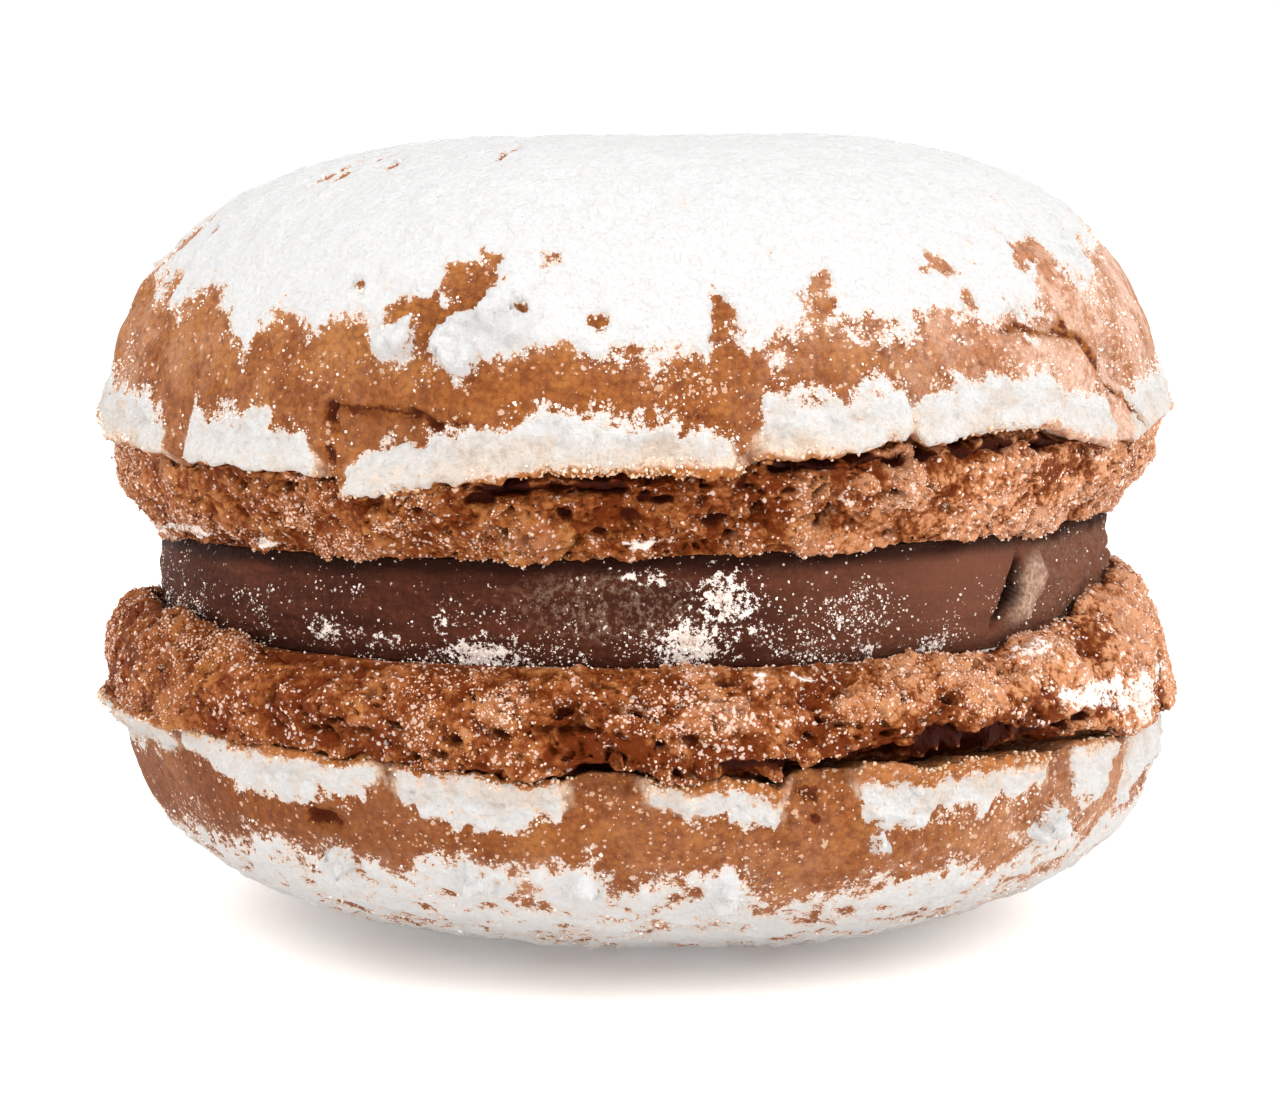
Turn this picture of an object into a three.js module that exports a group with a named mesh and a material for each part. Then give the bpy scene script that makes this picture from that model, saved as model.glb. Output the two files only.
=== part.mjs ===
// A filled amaretto cookie: two domed almond biscuits, base to base, round a disc of chocolate cream.
// Sizes are in millimetres and angles in degrees. The cookie stands on its lower dome with +Z up,
// and its origin is the middle of the small flat spot that it rests on. An angle of 0 is the shown
// front, at -Y, and angles grow towards +X.
import * as THREE from "three";

// The heights of the stack, measured up from the floor.
const lowerFaceHeight = 13.4;
const fillingHeight = 4.2;
const upperFaceHeight = lowerFaceHeight + fillingHeight;
const cookieHeight = 33.6;

// The upper biscuit leans a little, so its right side sits higher than its left.
const upperLean = 0.0211;
const restingFlat = 0.22;
const seam = 0.02;

// How finely the round surfaces are cut into facets.
const facetsAround = 120;
const domeRings = 12;
const crumbRings = 5;
const fillingRings = 5;

// A biscuit is described from its flat face, which lies on the filling, towards the top of its dome.
// dome: the crust, a rounded cap of this radius, with its widest place at the height "waist". The two
//   exponents say how square its shoulder and how flat its top are.
// tip: how far the dome has slid towards +X from the middle, and how much its right side is raised.
// lip: the height at which the crust ends in a flared edge, and flare: how far that edge stands out.
// crumb: the rough side below the lip, from the rim at the filling out to its widest place. A taper
//   over 1 makes it hollow next to the filling, and one under 1 makes it stand out there.
// flaps: the pieces of that edge, each with its height at its start, middle and end. A piece with an
//   "out" stands out by that much more.
const upperBiscuit = {
  faceHeight: upperFaceHeight,
  side: 1,
  lean: upperLean,
  tip: { slide: 0, lean: upperLean },
  dome: { radius: 22.6, top: cookieHeight - upperFaceHeight, waist: 4.3, shoulder: 3.69, crown: 1.96 },
  lip: { height: 3.3, flare: 0.45, reach: 1.3 },
  crumb: { rim: 20.4, radius: 22.3, widest: 2.9, taper: 1.3, lumps: 0.28 },
  undercut: 0.8,
  rims: [],
  flaps: [
    { from: -86, to: -52, heights: [5.2, 4.2, 3.7] },
    { from: -50, to: -31, heights: [3.6, 3.5, 3.3] },
    { from: -29, to: 10, heights: [2.2, 3.25, 3.05] },
    { from: 12, to: 27, heights: [3.45, 3.75, 4.2] },
    { from: 28, to: 57, heights: [3.8, 4.2, 3.0] },
    { from: 60, to: 96, heights: [3.3, 4.3, 4.6] },
    { from: 99, to: 128, heights: [4.4, 3.7, 3.4] },
    { from: 131, to: 152, heights: [3.0, 3.4, 3.5] },
    { from: 155, to: 196, heights: [3.7, 3.0, 3.3] },
    { from: 199, to: 231, heights: [3.3, 3.9, 3.6] },
    { from: 234, to: 272, heights: [3.4, 4.1, 5.3] },
  ],
  crevices: [
    { at: -4, spread: 15, depth: 0.7 },
    { at: 33, spread: 26, depth: 0.9 },
    { at: 150, spread: 24, depth: 0.6 },
    { at: 226, spread: 18, depth: 0.7 },
  ],
  dents: [
    { angle: -24, height: 4.9, wide: 6.5, tall: 2.4, depth: 0.5 },
    { angle: 46, height: 8.3, wide: 5.5, tall: 1.6, depth: 0.35 },
    { angle: 59, height: 6.4, wide: 3.2, tall: 2.8, depth: 0.5 },
    { angle: 168, height: 6.4, wide: 5.0, tall: 2.2, depth: 0.45 },
  ],
  seed: 11,
};

const lowerBiscuit = {
  faceHeight: lowerFaceHeight,
  side: -1,
  lean: 0,
  tip: { slide: 0.4, lean: -0.01 },
  dome: { radius: 22.45, top: lowerFaceHeight + restingFlat, waist: 0.4, shoulder: 1.82, crown: 4.2 },
  lip: { height: 3.8, flare: 0.4, reach: 1.1 },
  crumb: { rim: 20.9, radius: 23.0, widest: 2.4, taper: 0.5, lumps: 0.32 },
  undercut: 0.8,
  rims: [
    { at: -72, spread: 34, rise: 0.9 },
    { at: 50, spread: 24, rise: 0.3 },
    { at: 84, spread: 37, rise: 2.1 },
    { at: 150, spread: 30, rise: 0.6 },
    { at: 215, spread: 34, rise: 0.9 },
  ],
  flaps: [
    { from: -106, to: -55, heights: [3.6, 3.6, 3.3], out: 0.75 },
    { from: -54, to: -26, heights: [3.3, 3.6, 3.5] },
    { from: -25, to: -7, heights: [3.7, 3.8, 3.95] },
    { from: 0, to: 14, heights: [3.9, 3.9, 4.3] },
    { from: 21, to: 44.5, heights: [3.5, 3.6, 3.5] },
    { from: 47, to: 57, heights: [3.4, 3.6, 3.8] },
    { from: 60, to: 88, heights: [3.6, 3.5, 3.4], out: -0.4 },
    { from: 92, to: 124, heights: [3.6, 3.7, 4.1] },
    { from: 127, to: 149, heights: [3.9, 3.8, 3.5] },
    { from: 155, to: 189, heights: [3.8, 3.9, 3.4] },
    { from: 192, to: 224, heights: [3.5, 3.9, 4.0] },
    { from: 227, to: 251, heights: [3.8, 3.7, 3.4] },
  ],
  crevices: [
    { at: 37, spread: 25, depth: 1.5 },
    { at: 13, spread: 9, depth: 1.0 },
    { at: -5, spread: 9, depth: 0.6 },
    { at: 172, spread: 24, depth: 1.0 },
    { at: 250, spread: 18, depth: 0.6 },
  ],
  dents: [
    { angle: -33, height: 6.3, wide: 1.8, tall: 1.4, depth: 0.4 },
    { angle: -62, height: 7.5, wide: 8.0, tall: 6.0, depth: 0.3 },
    { angle: 186, height: 8.0, wide: 6.0, tall: 4.0, depth: 0.3 },
  ],
  seed: 37,
};

// The filling is a disc whose side bulges, with a split in it at the right.
const filling = {
  radius: 20.1,
  bulge: 0.42,
  sway: 0.1,
  split: { angle: 47.5, wide: 1.6, depth: 0.8 },
  chip: { angle: 55, wide: 4.2, depth: 0.3 },
};

const fullTurn = 360;

// The shortest way round from one angle to another.
function turnBetween(angle, other) {
  return ((angle - other + 540) % fullTurn) - 180;
}

function smoothStep(low, high, value) {
  const t = Math.min(1, Math.max(0, (value - low) / (high - low)));
  return t * t * (3 - 2 * t);
}

// A repeatable random value from 0 to 1 for a corner of the unit lattice.
function cornerValue(i, j, k) {
  const h = Math.sin(i * 127.1 + j * 311.7 + k * 74.7) * 43758.5453;
  return h - Math.floor(h);
}

// Smooth noise from -1 to 1, by blending the eight corners round a point.
function smoothNoise(x, y, z) {
  const [i, j, k] = [x, y, z].map(Math.floor);
  const [u, v, w] = [x - i, y - j, z - k].map((t) => t * t * (3 - 2 * t));
  const ends = [0, 1];
  let sum = 0;
  for (const a of ends) {
    for (const b of ends) {
      for (const c of ends) {
        const share = (a ? u : 1 - u) * (b ? v : 1 - v) * (c ? w : 1 - w);
        sum += share * cornerValue(i + a, j + b, k + c);
      }
    }
  }
  return sum * 2 - 1;
}

// Noise laid over the surface: lumps of about the given size in millimetres.
function lumpsAt(angle, height, radius, size, seed) {
  const turn = THREE.MathUtils.degToRad(angle);
  const x = (radius * Math.sin(turn)) / size;
  const y = (-radius * Math.cos(turn)) / size;
  return smoothNoise(x + seed, y + seed * 2, height / size + seed * 3);
}

// Slow waves round the biscuit, so that no two sides of it are alike.
function swayAt(angle, seed) {
  const turn = THREE.MathUtils.degToRad(angle);
  return (
    0.12 * Math.sin(2 * turn + seed) +
    0.1 * Math.sin(3 * turn + 2 * seed) +
    0.1 * Math.sin(5 * turn + 3 * seed) +
    0.07 * Math.sin(9 * turn + 5 * seed)
  );
}

// The sum of rises or depths that lie round the rim, each with its own middle and spread.
function aroundRim(list, angle, key) {
  let sum = 0;
  for (const one of list) {
    const away = Math.abs(turnBetween(angle, one.at));
    sum += one[key] * (1 - smoothStep(0.35 * one.spread, one.spread, away));
  }
  return sum;
}

// The curve through three values, at the shares 0, a half and 1.
function throughThree([start, middle, end], share) {
  const bend = 2 * (start + end - 2 * middle);
  return start + (end - start - bend) * share + bend * share * share;
}

// The crust's edge at an angle: its strength (0 in the splits, 1 on a flap), its height and how far it
// stands out.
function flapAt(biscuit, angle) {
  let strength = 0;
  let height = biscuit.lip.height;
  let out = biscuit.lip.flare;
  for (const flap of biscuit.flaps) {
    const span = flap.to - flap.from;
    const along = turnBetween(angle, flap.from + span / 2) + span / 2;
    const inside = smoothStep(-1.2, 1.2, along) * (1 - smoothStep(span - 1.2, span + 1.2, along));
    const share = Math.min(1, Math.max(0, along / span));
    height += inside * (throughThree(flap.heights, share) - biscuit.lip.height);
    strength = Math.max(strength, inside);
    out += inside * (flap.out ?? 0);
  }
  return { strength, height, out: out * strength };
}

// How deep the dome's cracks and dents are at a place.
function dentAt(biscuit, angle, height) {
  let depth = 0;
  for (const dent of biscuit.dents) {
    const across = THREE.MathUtils.degToRad(turnBetween(angle, dent.angle)) * biscuit.dome.radius;
    const away = Math.hypot(across / (dent.wide / 2), (height - dent.height) / (dent.tall / 2));
    depth = Math.max(depth, dent.depth * (1 - smoothStep(0.3, 1.1, away)));
  }
  return depth;
}

// The radius and height of the smooth dome. share is 0 at its top and 1 at the given edge height.
function domeCurve(dome, share, edgeHeight) {
  const rise = dome.top - dome.waist;
  const last = Math.acos(Math.pow(Math.max(0, (edgeHeight - dome.waist) / rise), dome.crown / 2));
  const turn = last * share;
  return {
    radius: dome.radius * Math.pow(Math.sin(turn), 2 / dome.shoulder),
    height: dome.waist + rise * Math.pow(Math.cos(turn), 2 / dome.crown),
  };
}

// One line down the biscuit's side at an angle, from next to the dome's top to the edge of its face.
function biscuitLine(biscuit, angle) {
  const { dome, lip, crumb, seed } = biscuit;
  const sway = swayAt(angle, seed);
  const flap = flapAt(biscuit, angle);
  const crevice = aroundRim(biscuit.crevices, angle, "depth");
  const rise = aroundRim(biscuit.rims, angle, "rise");
  const points = [];

  for (let i = 1; i <= domeRings; i++) {
    const share = Math.pow(i / domeRings, 0.8);
    const { radius, height } = domeCurve(dome, share, Math.max(flap.height, dome.waist));
    const flare = flap.out * (1 - smoothStep(0, lip.reach, height - flap.height));
    const broad = lumpsAt(angle, height, radius, 6.5, seed);
    const lumps = 0.22 * broad + 0.08 * lumpsAt(angle, height, radius, 2.6, seed);
    const dent = dentAt(biscuit, angle, height);
    const edge = Math.pow(radius / dome.radius, 2);
    const inset = lumps * 0.8 - dent;
    points.push([radius + edge * (sway + flare + inset), height + (1 - edge) * (lumps + sway * 0.3 - dent)]);
  }
  const lipRadius = dome.radius + sway + flap.out - 0.35 * (1 - flap.strength);
  const lipHeight = flap.height;
  points.push([lipRadius, lipHeight]);
  points.push([lipRadius - 0.3, lipHeight - 0.3]);

  const recess = biscuit.undercut * flap.strength + crevice;
  const gap = 0.15 + 0.35 * crevice;
  points.push([lipRadius - 0.25 - recess, lipHeight - 0.4 - gap / 2]);

  const crumbTop = lipHeight - 0.6 - gap;
  const widest = Math.min(crumb.widest, crumbTop - 0.1);
  for (let i = 0; i <= crumbRings; i++) {
    const share = 1 - i / crumbRings;
    const outward = Math.pow(Math.sin((Math.PI / 2) * share), crumb.taper);
    const height = i === 0 ? crumbTop : (widest + rise) * share - rise;
    const radius = crumb.rim + (crumb.radius - crumb.rim) * outward;
    const lumps = crumb.lumps * lumpsAt(angle, height, radius, 2.3, seed + 5);
    const fade = i === crumbRings ? 0 : 1;
    points.push([radius + fade * (lumps + sway * outward), height + fade * lumps * 0.35]);
  }
  return points;
}

// A closed surface from lines that run from one pole to the other. It is turned to face outwards.
function closedSurface(lines, firstPole, lastPole, facesOut) {
  const rings = lines[0].length;
  const positions = [...firstPole];
  for (const line of lines) line.forEach((point) => positions.push(...point));
  positions.push(...lastPole);
  const lastIndex = positions.length / 3 - 1;
  const indices = [];
  const addFace = (a, b, c) => indices.push(...(facesOut ? [a, b, c] : [a, c, b]));
  lines.forEach((line, i) => {
    const here = 1 + i * rings;
    const next = 1 + ((i + 1) % lines.length) * rings;
    addFace(0, here, next);
    for (let j = 0; j < rings - 1; j++) {
      addFace(here + j, here + j + 1, next + j + 1);
      addFace(here + j, next + j + 1, next + j);
    }
    addFace(here + rings - 1, lastIndex, next + rings - 1);
  });
  const geometry = new THREE.BufferGeometry();
  geometry.setAttribute("position", new THREE.BufferAttribute(new Float32Array(positions), 3));
  geometry.setIndex(indices);
  geometry.computeVertexNormals();
  return geometry;
}

// Turns a radius and height at an angle into a point, with +Z up.
function pointAt(angle, radius, height) {
  const turn = THREE.MathUtils.degToRad(angle);
  return [radius * Math.sin(turn), -radius * Math.cos(turn), height];
}

function anglesAround() {
  return Array.from({ length: facetsAround }, (_, i) => (i * fullTurn) / facetsAround);
}

function biscuitGeometry(biscuit) {
  const { faceHeight, side, lean, tip, lip, dome, crumb } = biscuit;
  const place = (angle, radius, height) => {
    const [x, y, z] = pointAt(angle, radius, faceHeight + side * height);
    const share = smoothStep(0, lip.height, height);
    return [x + tip.slide * share, y, Math.max(0, z + (lean + (tip.lean - lean) * share) * x)];
  };
  const faceRadius = crumb.rim - 0.3;
  const lines = anglesAround().map((angle) => [
    ...biscuitLine(biscuit, angle).map(([radius, height]) => place(angle, radius, height)),
    place(angle, faceRadius, 0),
  ]);
  return closedSurface(lines, place(0, 0, dome.top), place(0, 0, 0), side > 0);
}

function fillingGeometry() {
  const bottom = lowerFaceHeight + seam;
  const top = upperFaceHeight - seam;
  const lines = anglesAround().map((angle) => {
    const broad = lumpsAt(angle, 0, filling.radius, 12, 4);
    const sway = filling.sway * (broad + lumpsAt(angle, 0, filling.radius, 5, 3));
    const line = [];
    for (let i = 0; i <= fillingRings; i++) {
      const share = i / fillingRings;
      const middle = Math.sin(Math.PI * share);
      let radius = filling.radius + sway + filling.bulge * Math.sqrt(middle);
      for (const cut of [filling.split, filling.chip]) {
        const away = Math.abs(THREE.MathUtils.degToRad(turnBetween(angle, cut.angle)) * filling.radius);
        radius -= middle * cut.depth * (1 - smoothStep(0.2 * cut.wide, 0.6 * cut.wide, away));
      }
      const [x, y] = pointAt(angle, radius, 0);
      line.push([x, y, bottom + (1 - share) * (top + upperLean * x - bottom)]);
    }
    return line;
  });
  return closedSurface(lines, [0, 0, top], [0, 0, bottom], true);
}

function paint(color, roughness) {
  return new THREE.MeshStandardMaterial({ color, roughness, metalness: 0, side: THREE.DoubleSide });
}

function namedMesh(name, geometry, material) {
  const mesh = new THREE.Mesh(geometry, material);
  mesh.name = name;
  return mesh;
}

const lowerCrust = paint("#c08152", 0.85);
const chocolateCream = paint("#573022", 0.55);
const upperCrust = paint("#c98a5c", 0.85);

const cookie = new THREE.Group();
cookie.add(namedMesh("lower_biscuit", biscuitGeometry(lowerBiscuit), lowerCrust));
cookie.add(namedMesh("filling", fillingGeometry(), chocolateCream));
cookie.add(namedMesh("upper_biscuit", biscuitGeometry(upperBiscuit), upperCrust));

export default cookie;
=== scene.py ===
# A filled amaretto cookie on a white table top, in the soft light of a small studio.
# Shapes are worked out in millimetres and go into their meshes in metres. An angle of 0 is the shown
# front, at -Y, and angles grow towards +X. A height is measured from a biscuit's flat face, which lies
# on the filling, towards the top of its dome.
import functools
import math

import bpy
import numpy as np
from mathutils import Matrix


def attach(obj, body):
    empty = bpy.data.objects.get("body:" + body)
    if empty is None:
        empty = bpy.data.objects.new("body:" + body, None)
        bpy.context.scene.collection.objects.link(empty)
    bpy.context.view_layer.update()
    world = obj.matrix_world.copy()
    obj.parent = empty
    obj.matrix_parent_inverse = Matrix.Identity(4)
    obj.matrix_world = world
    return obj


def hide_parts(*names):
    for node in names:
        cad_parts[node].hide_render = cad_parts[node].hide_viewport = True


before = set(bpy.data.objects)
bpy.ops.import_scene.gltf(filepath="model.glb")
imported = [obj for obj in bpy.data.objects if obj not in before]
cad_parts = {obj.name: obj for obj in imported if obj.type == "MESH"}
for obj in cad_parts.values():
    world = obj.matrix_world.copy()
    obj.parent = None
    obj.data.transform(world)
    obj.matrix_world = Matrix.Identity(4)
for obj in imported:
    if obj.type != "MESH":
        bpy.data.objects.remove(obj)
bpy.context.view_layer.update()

metre = 0.001
randomness = np.random.default_rng(20)


# Helpers: smooth steps, noise and cells, all on whole arrays

# 0 below low and 1 above high, with an even S-shaped ramp between.
def smoothStep(low, high, value):
    t = np.clip((value - low) / (high - low), 0.0, 1.0)
    return t * t * (3.0 - 2.0 * t)


# The shortest way round from one angle to another, in degrees.
def turnBetween(angle, other):
    return (angle - other + 540.0) % 360.0 - 180.0


# How far each point of a side with that radius is from the middle of an oval place on it: across in half
# widths and up in half heights, so that the oval's edge is at 1.
def awayFrom(angle, height, radius, at, level, wide, tall):
    across = np.radians(turnBetween(angle, at)) * radius
    return np.hypot(across / (wide / 2), (height - level) / (tall / 2))


# A repeatable value from 0 to 1 for each corner of the unit lattice.
def cornerValue(i, j, k):
    h = np.sin(i * 127.1 + j * 311.7 + k * 74.7) * 43758.5453
    return h - np.floor(h)


# Noise from -1 to 1: the eight corner values round each point, blended with S-shaped weights.
def smoothNoise(points):
    base = np.floor(points)
    u, v, w = np.moveaxis(points - base, -1, 0)
    i, j, k = np.moveaxis(base, -1, 0)
    u, v, w = (t * t * (3.0 - 2.0 * t) for t in (u, v, w))
    total = np.zeros(points.shape[:-1])
    for a in (0, 1):
        for b in (0, 1):
            for c in (0, 1):
                share = (u if a else 1 - u) * (v if b else 1 - v) * (w if c else 1 - w)
                total += share * cornerValue(i + a, j + b, k + c)
    return total * 2.0 - 1.0


# Lumps of about one size in millimetres, from -1 to 1.
def lumps(points, size, seed):
    return smoothNoise(points / size + np.array([seed, seed * 2.0, seed * 3.0]))


# Several sizes of lumps added up, each half as large and half as high as the one before.
def layeredLumps(points, size, seed, layers=3):
    return sum(lumps(points, size / 2**n, seed + 7 * n) / 2**n for n in range(layers))


# Lumps of several (height, size) pairs added up, each with a seed of its own.
def mixedLumps(points, seed, *sizes):
    return sum(height * lumps(points, size, seed + n) for n, (height, size) in enumerate(sizes))


# Space is cut into cells of one size, each with a random point. Gives, for each place, the distance
# to the nearest of those points, in cell sizes, that cell's own random value from 0 to 1, and how much
# farther off the second nearest point is.
def nearestCell(points, size, seed):
    scaled = points / size + seed
    base = np.floor(scaled)
    nearest, second = np.full(points.shape[:-1], 9.0), np.full(points.shape[:-1], 9.0)
    value = np.zeros(points.shape[:-1])
    for a in (-1, 0, 1):
        for b in (-1, 0, 1):
            for c in (-1, 0, 1):
                i, j, k = np.moveaxis(base + np.array([a, b, c]), -1, 0)
                spot = [cornerValue(i, j, k), cornerValue(j, k, i + 5), cornerValue(k, i, j + 9)]
                away = np.linalg.norm(np.stack([i, j, k], -1) + np.stack(spot, -1) - scaled, axis=-1)
                closer = away < nearest
                second = np.minimum(second, np.maximum(away, nearest))
                nearest = np.where(closer, away, nearest)
                value = np.where(closer, cornerValue(i + 3, k, j), value)
    return nearest, value, second - nearest


# Pores of a foam, 0 outside them and 1 inside: in cells of one size, a cavity round the cell's random
# point, whose radius is the widest one times the cell's own value to the power 1.5. It fades out where
# the next cell begins.
def poresAt(points, size, widest, seed):
    away, value, margin = nearestCell(points, size, seed)
    inside = 1 - smoothStep(0.5, 1.0, away * size / (widest * value**1.5 + 0.04))
    return inside * smoothStep(0.0, 0.3, margin)


# Smooth curve round the cookie through (angle, value) pairs, which are given in order.
def aroundCurve(pairs, angle):
    at = np.array([p[0] for p in pairs], float)
    values = np.array([p[1] for p in pairs], float)
    at = np.concatenate([at - 360.0, at, at + 360.0])
    values = np.tile(values, 3)
    order = np.argsort(at)
    at, values = at[order], values[order]
    place = np.mod(angle + 180.0, 360.0) - 180.0
    k = np.clip(np.searchsorted(at, place) - 1, 0, len(at) - 2)
    t = (place - at[k]) / (at[k + 1] - at[k])
    t = t * t * (3.0 - 2.0 * t)
    return values[k] * (1 - t) + values[k + 1] * t


# Columns round the cookie, closer together at the shown front than at the back.
def columnAngles(count):
    t = np.linspace(0.0, 1.0, 2001)
    angle = -180.0 + 360.0 * t
    weight = 1.0 + 1.3 * (1.0 - smoothStep(70.0, 110.0, np.abs(angle)))
    share = np.concatenate([[0.0], np.cumsum((weight[1:] + weight[:-1]) / 2)])
    share /= share[-1]
    return np.interp(np.arange(count) / count, share, angle)


# Blocks of rows side by side, each with one column of values or one for every column of the grid.
def joinRows(columns, blocks):
    return np.concatenate([np.broadcast_to(block, (columns, block.shape[1])) for block in blocks], 1)


# Points at an angle, a radius and a height above the floor.
def pointsAt(angle, radius, height):
    turn = np.radians(angle)
    return np.stack([radius * np.sin(turn), -radius * np.cos(turn), height], -1)


# Outward normals of a grid whose columns go round and whose rows run from the first pole to the last:
# the cross product of the steps across and along it.
def gridNormals(grid, facing):
    across = np.roll(grid, -1, 0) - np.roll(grid, 1, 0)
    along = np.gradient(grid, axis=1)
    normal = np.cross(along, across) * facing
    length = np.linalg.norm(normal, axis=-1, keepdims=True)
    return normal / np.maximum(length, 1e-12)


# A closed piece from a grid: the grid's quads, and a fan of triangles at each pole.
def closedPiece(name, grid, firstPole, lastPole, facing, attributes, material, node=None):
    columns, rows = grid.shape[:2]
    i = np.arange(columns)[:, None]
    j = np.arange(rows - 1)[None, :]
    here, there = i * rows + j, ((i + 1) % columns) * rows + j
    quads = np.stack([here, here + 1, there + 1, there], -1).reshape(-1, 4)
    first, last = columns * rows, columns * rows + 1
    ring = np.arange(columns) * rows
    ringNext = np.roll(ring, -1)
    fan = np.stack([np.full(columns, first), ring, ringNext], -1)
    end = np.stack([np.full(columns, last), ringNext + rows - 1, ring + rows - 1], -1)
    triangles = np.concatenate([fan, end])
    if facing < 0:
        quads, triangles = quads[:, ::-1], triangles[:, ::-1]
    points = np.concatenate([grid.reshape(-1, 3), [firstPole, lastPole]]) * metre
    corners = np.concatenate([quads.ravel(), triangles.ravel()])
    starts = np.concatenate([np.arange(len(quads)) * 4, len(quads) * 4 + np.arange(len(triangles)) * 3])
    mesh = bpy.data.meshes.new(name)
    mesh.vertices.add(len(points))
    mesh.vertices.foreach_set("co", points.ravel())
    mesh.loops.add(len(corners))
    mesh.loops.foreach_set("vertex_index", corners.astype(np.int32))
    mesh.polygons.add(len(starts))
    mesh.polygons.foreach_set("loop_start", starts.astype(np.int32))
    for key, values in attributes.items():
        whole = np.concatenate([values.ravel(), [values[:, 0].mean(), values[:, -1].mean()]])
        mesh.attributes.new(key, "FLOAT", "POINT").data.foreach_set("value", whole.astype(np.float32))
    placePiece(name, mesh, material, node)


# Puts a mesh into the scene, riding on the cookie.
def placePiece(name, mesh, material, node=None):
    mesh.update(calc_edges=True)
    mesh.validate()
    mesh.shade_smooth()
    mesh.materials.append(material)
    piece = bpy.data.objects.new(name, mesh)
    bpy.context.scene.collection.objects.link(piece)
    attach(piece, "root")
    if node:
        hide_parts(node)
    print(name, "has", sum(len(p.vertices) - 2 for p in mesh.polygons), "triangles")


# Materials

# An sRGB hex colour as linear light, with alpha 1.
def linear(hexColour):
    parts = [int(hexColour[n : n + 2], 16) / 255.0 for n in (1, 3, 5)]
    return [p / 12.92 if p <= 0.04045 else ((p + 0.055) / 1.055) ** 2.4 for p in parts] + [1.0]


# Adds a node to a tree with its settings, links the inputs that are given as another node's output, and
# gives back one of its own outputs. Hex colours become linear on the way.
def addNode(tree, kind, inputs, output=0, **settings):
    node = tree.nodes.new("ShaderNode" + kind)
    for key, value in settings.items():
        setattr(node, key, value)
    for key, value in inputs.items():
        if isinstance(value, bpy.types.NodeSocket):
            tree.links.new(value, node.inputs[key])
        else:
            node.inputs[key].default_value = linear(value) if isinstance(value, str) else value
    return node.outputs[output] if node.outputs else node


# An empty material, the addNode of its own tree, and the place on the piece that patterns read.
def newMaterial(name):
    material = bpy.data.materials.new(name)
    material.use_nodes = True
    material.node_tree.nodes.clear()
    add = functools.partial(addNode, material.node_tree)
    return material, add, add("TexCoord", {}, "Object")


perMm = 1000.0  # pattern scales count per metre, so this over a size in millimetres gives that size
laceSpread = 3.4  # how strongly noise breaks up the edges of powder and cracks

# settings that many nodes share
smoothly = {"interpolation_type": "SMOOTHSTEP"}
times = {"operation": "MULTIPLY"}
timesPlus = {"operation": "MULTIPLY_ADD"}
mixing = {"data_type": "RGBA"}


# Fine specks: in cells of a size in millimetres, a dot with a ragged edge round the random point of the
# cells whose own random value is under the density.
def specks(add, place, size, density, radius):
    cell = add("TexVoronoi", {"Vector": place, "Scale": perMm / size}, "Distance")
    value = add("SeparateColor", {0: cell.node.outputs["Color"]})
    present = add("Math", {0: value, 1: density}, operation="LESS_THAN")
    frays = add("TexNoise", {"Vector": place, "Scale": perMm / (0.4 * size), "Detail": 1})
    reach = add("Math", {0: value.node.outputs[1], 1: radius, 2: radius * 0.35 - 0.4}, **timesPlus)
    reach = add("Math", {0: frays, 1: 0.8, 2: reach}, **timesPlus)
    inside = add("Math", {0: cell, 1: reach}, operation="LESS_THAN")
    return add("Math", {0: present, 1: inside}, **times)


crustLook = {
    "deep": "#6c340f",  # a darker brown in broad patches, and painted shade between the crust's grains
    "main": "#7f441b",  # its usual golden brown
    "light": "#a4622a",  # where it rose and baked thin
    "gold": "#ac6e2e",  # patches of a warmer brown, laid thickest on the upper left where they also paint brighter light
    "freckleAndShade": "#602c10",  # small dark spots, and the colour of the painted shade on the crust
    "crack": "#55200a",  # down in the cracks
    "film": "#dbb8a5",  # a breath of sugar over the crust, which on the right also paints brighter light
    "toast": "#b26c33",  # the golden, crumbly edge of a flap
    "lip": "#e3cfb8",  # the pale, crisp edge of a flap
    "sugar": "#cdcdcd",  # where it lies thick
    "pale": "#b4703f",  # the crust under that breath of sugar, also painted light on the right
    "thinSugar": "#d6c1b1",  # where it runs out into lace
    "fleck": "#caa488",  # a grain that has drawn moisture from the crust
    "flapSugar": "#c1b0a0",  # where the crust's pale lip shows through it
    "shadedSugar": "#ab937d",  # painted shade on the sugar between its clods
    "specks": 0.03,  # the share of bare crust that has a speck of sugar
    "dustSpecks": 0.55,  # how much larger that share is in a dusted place
}
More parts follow.
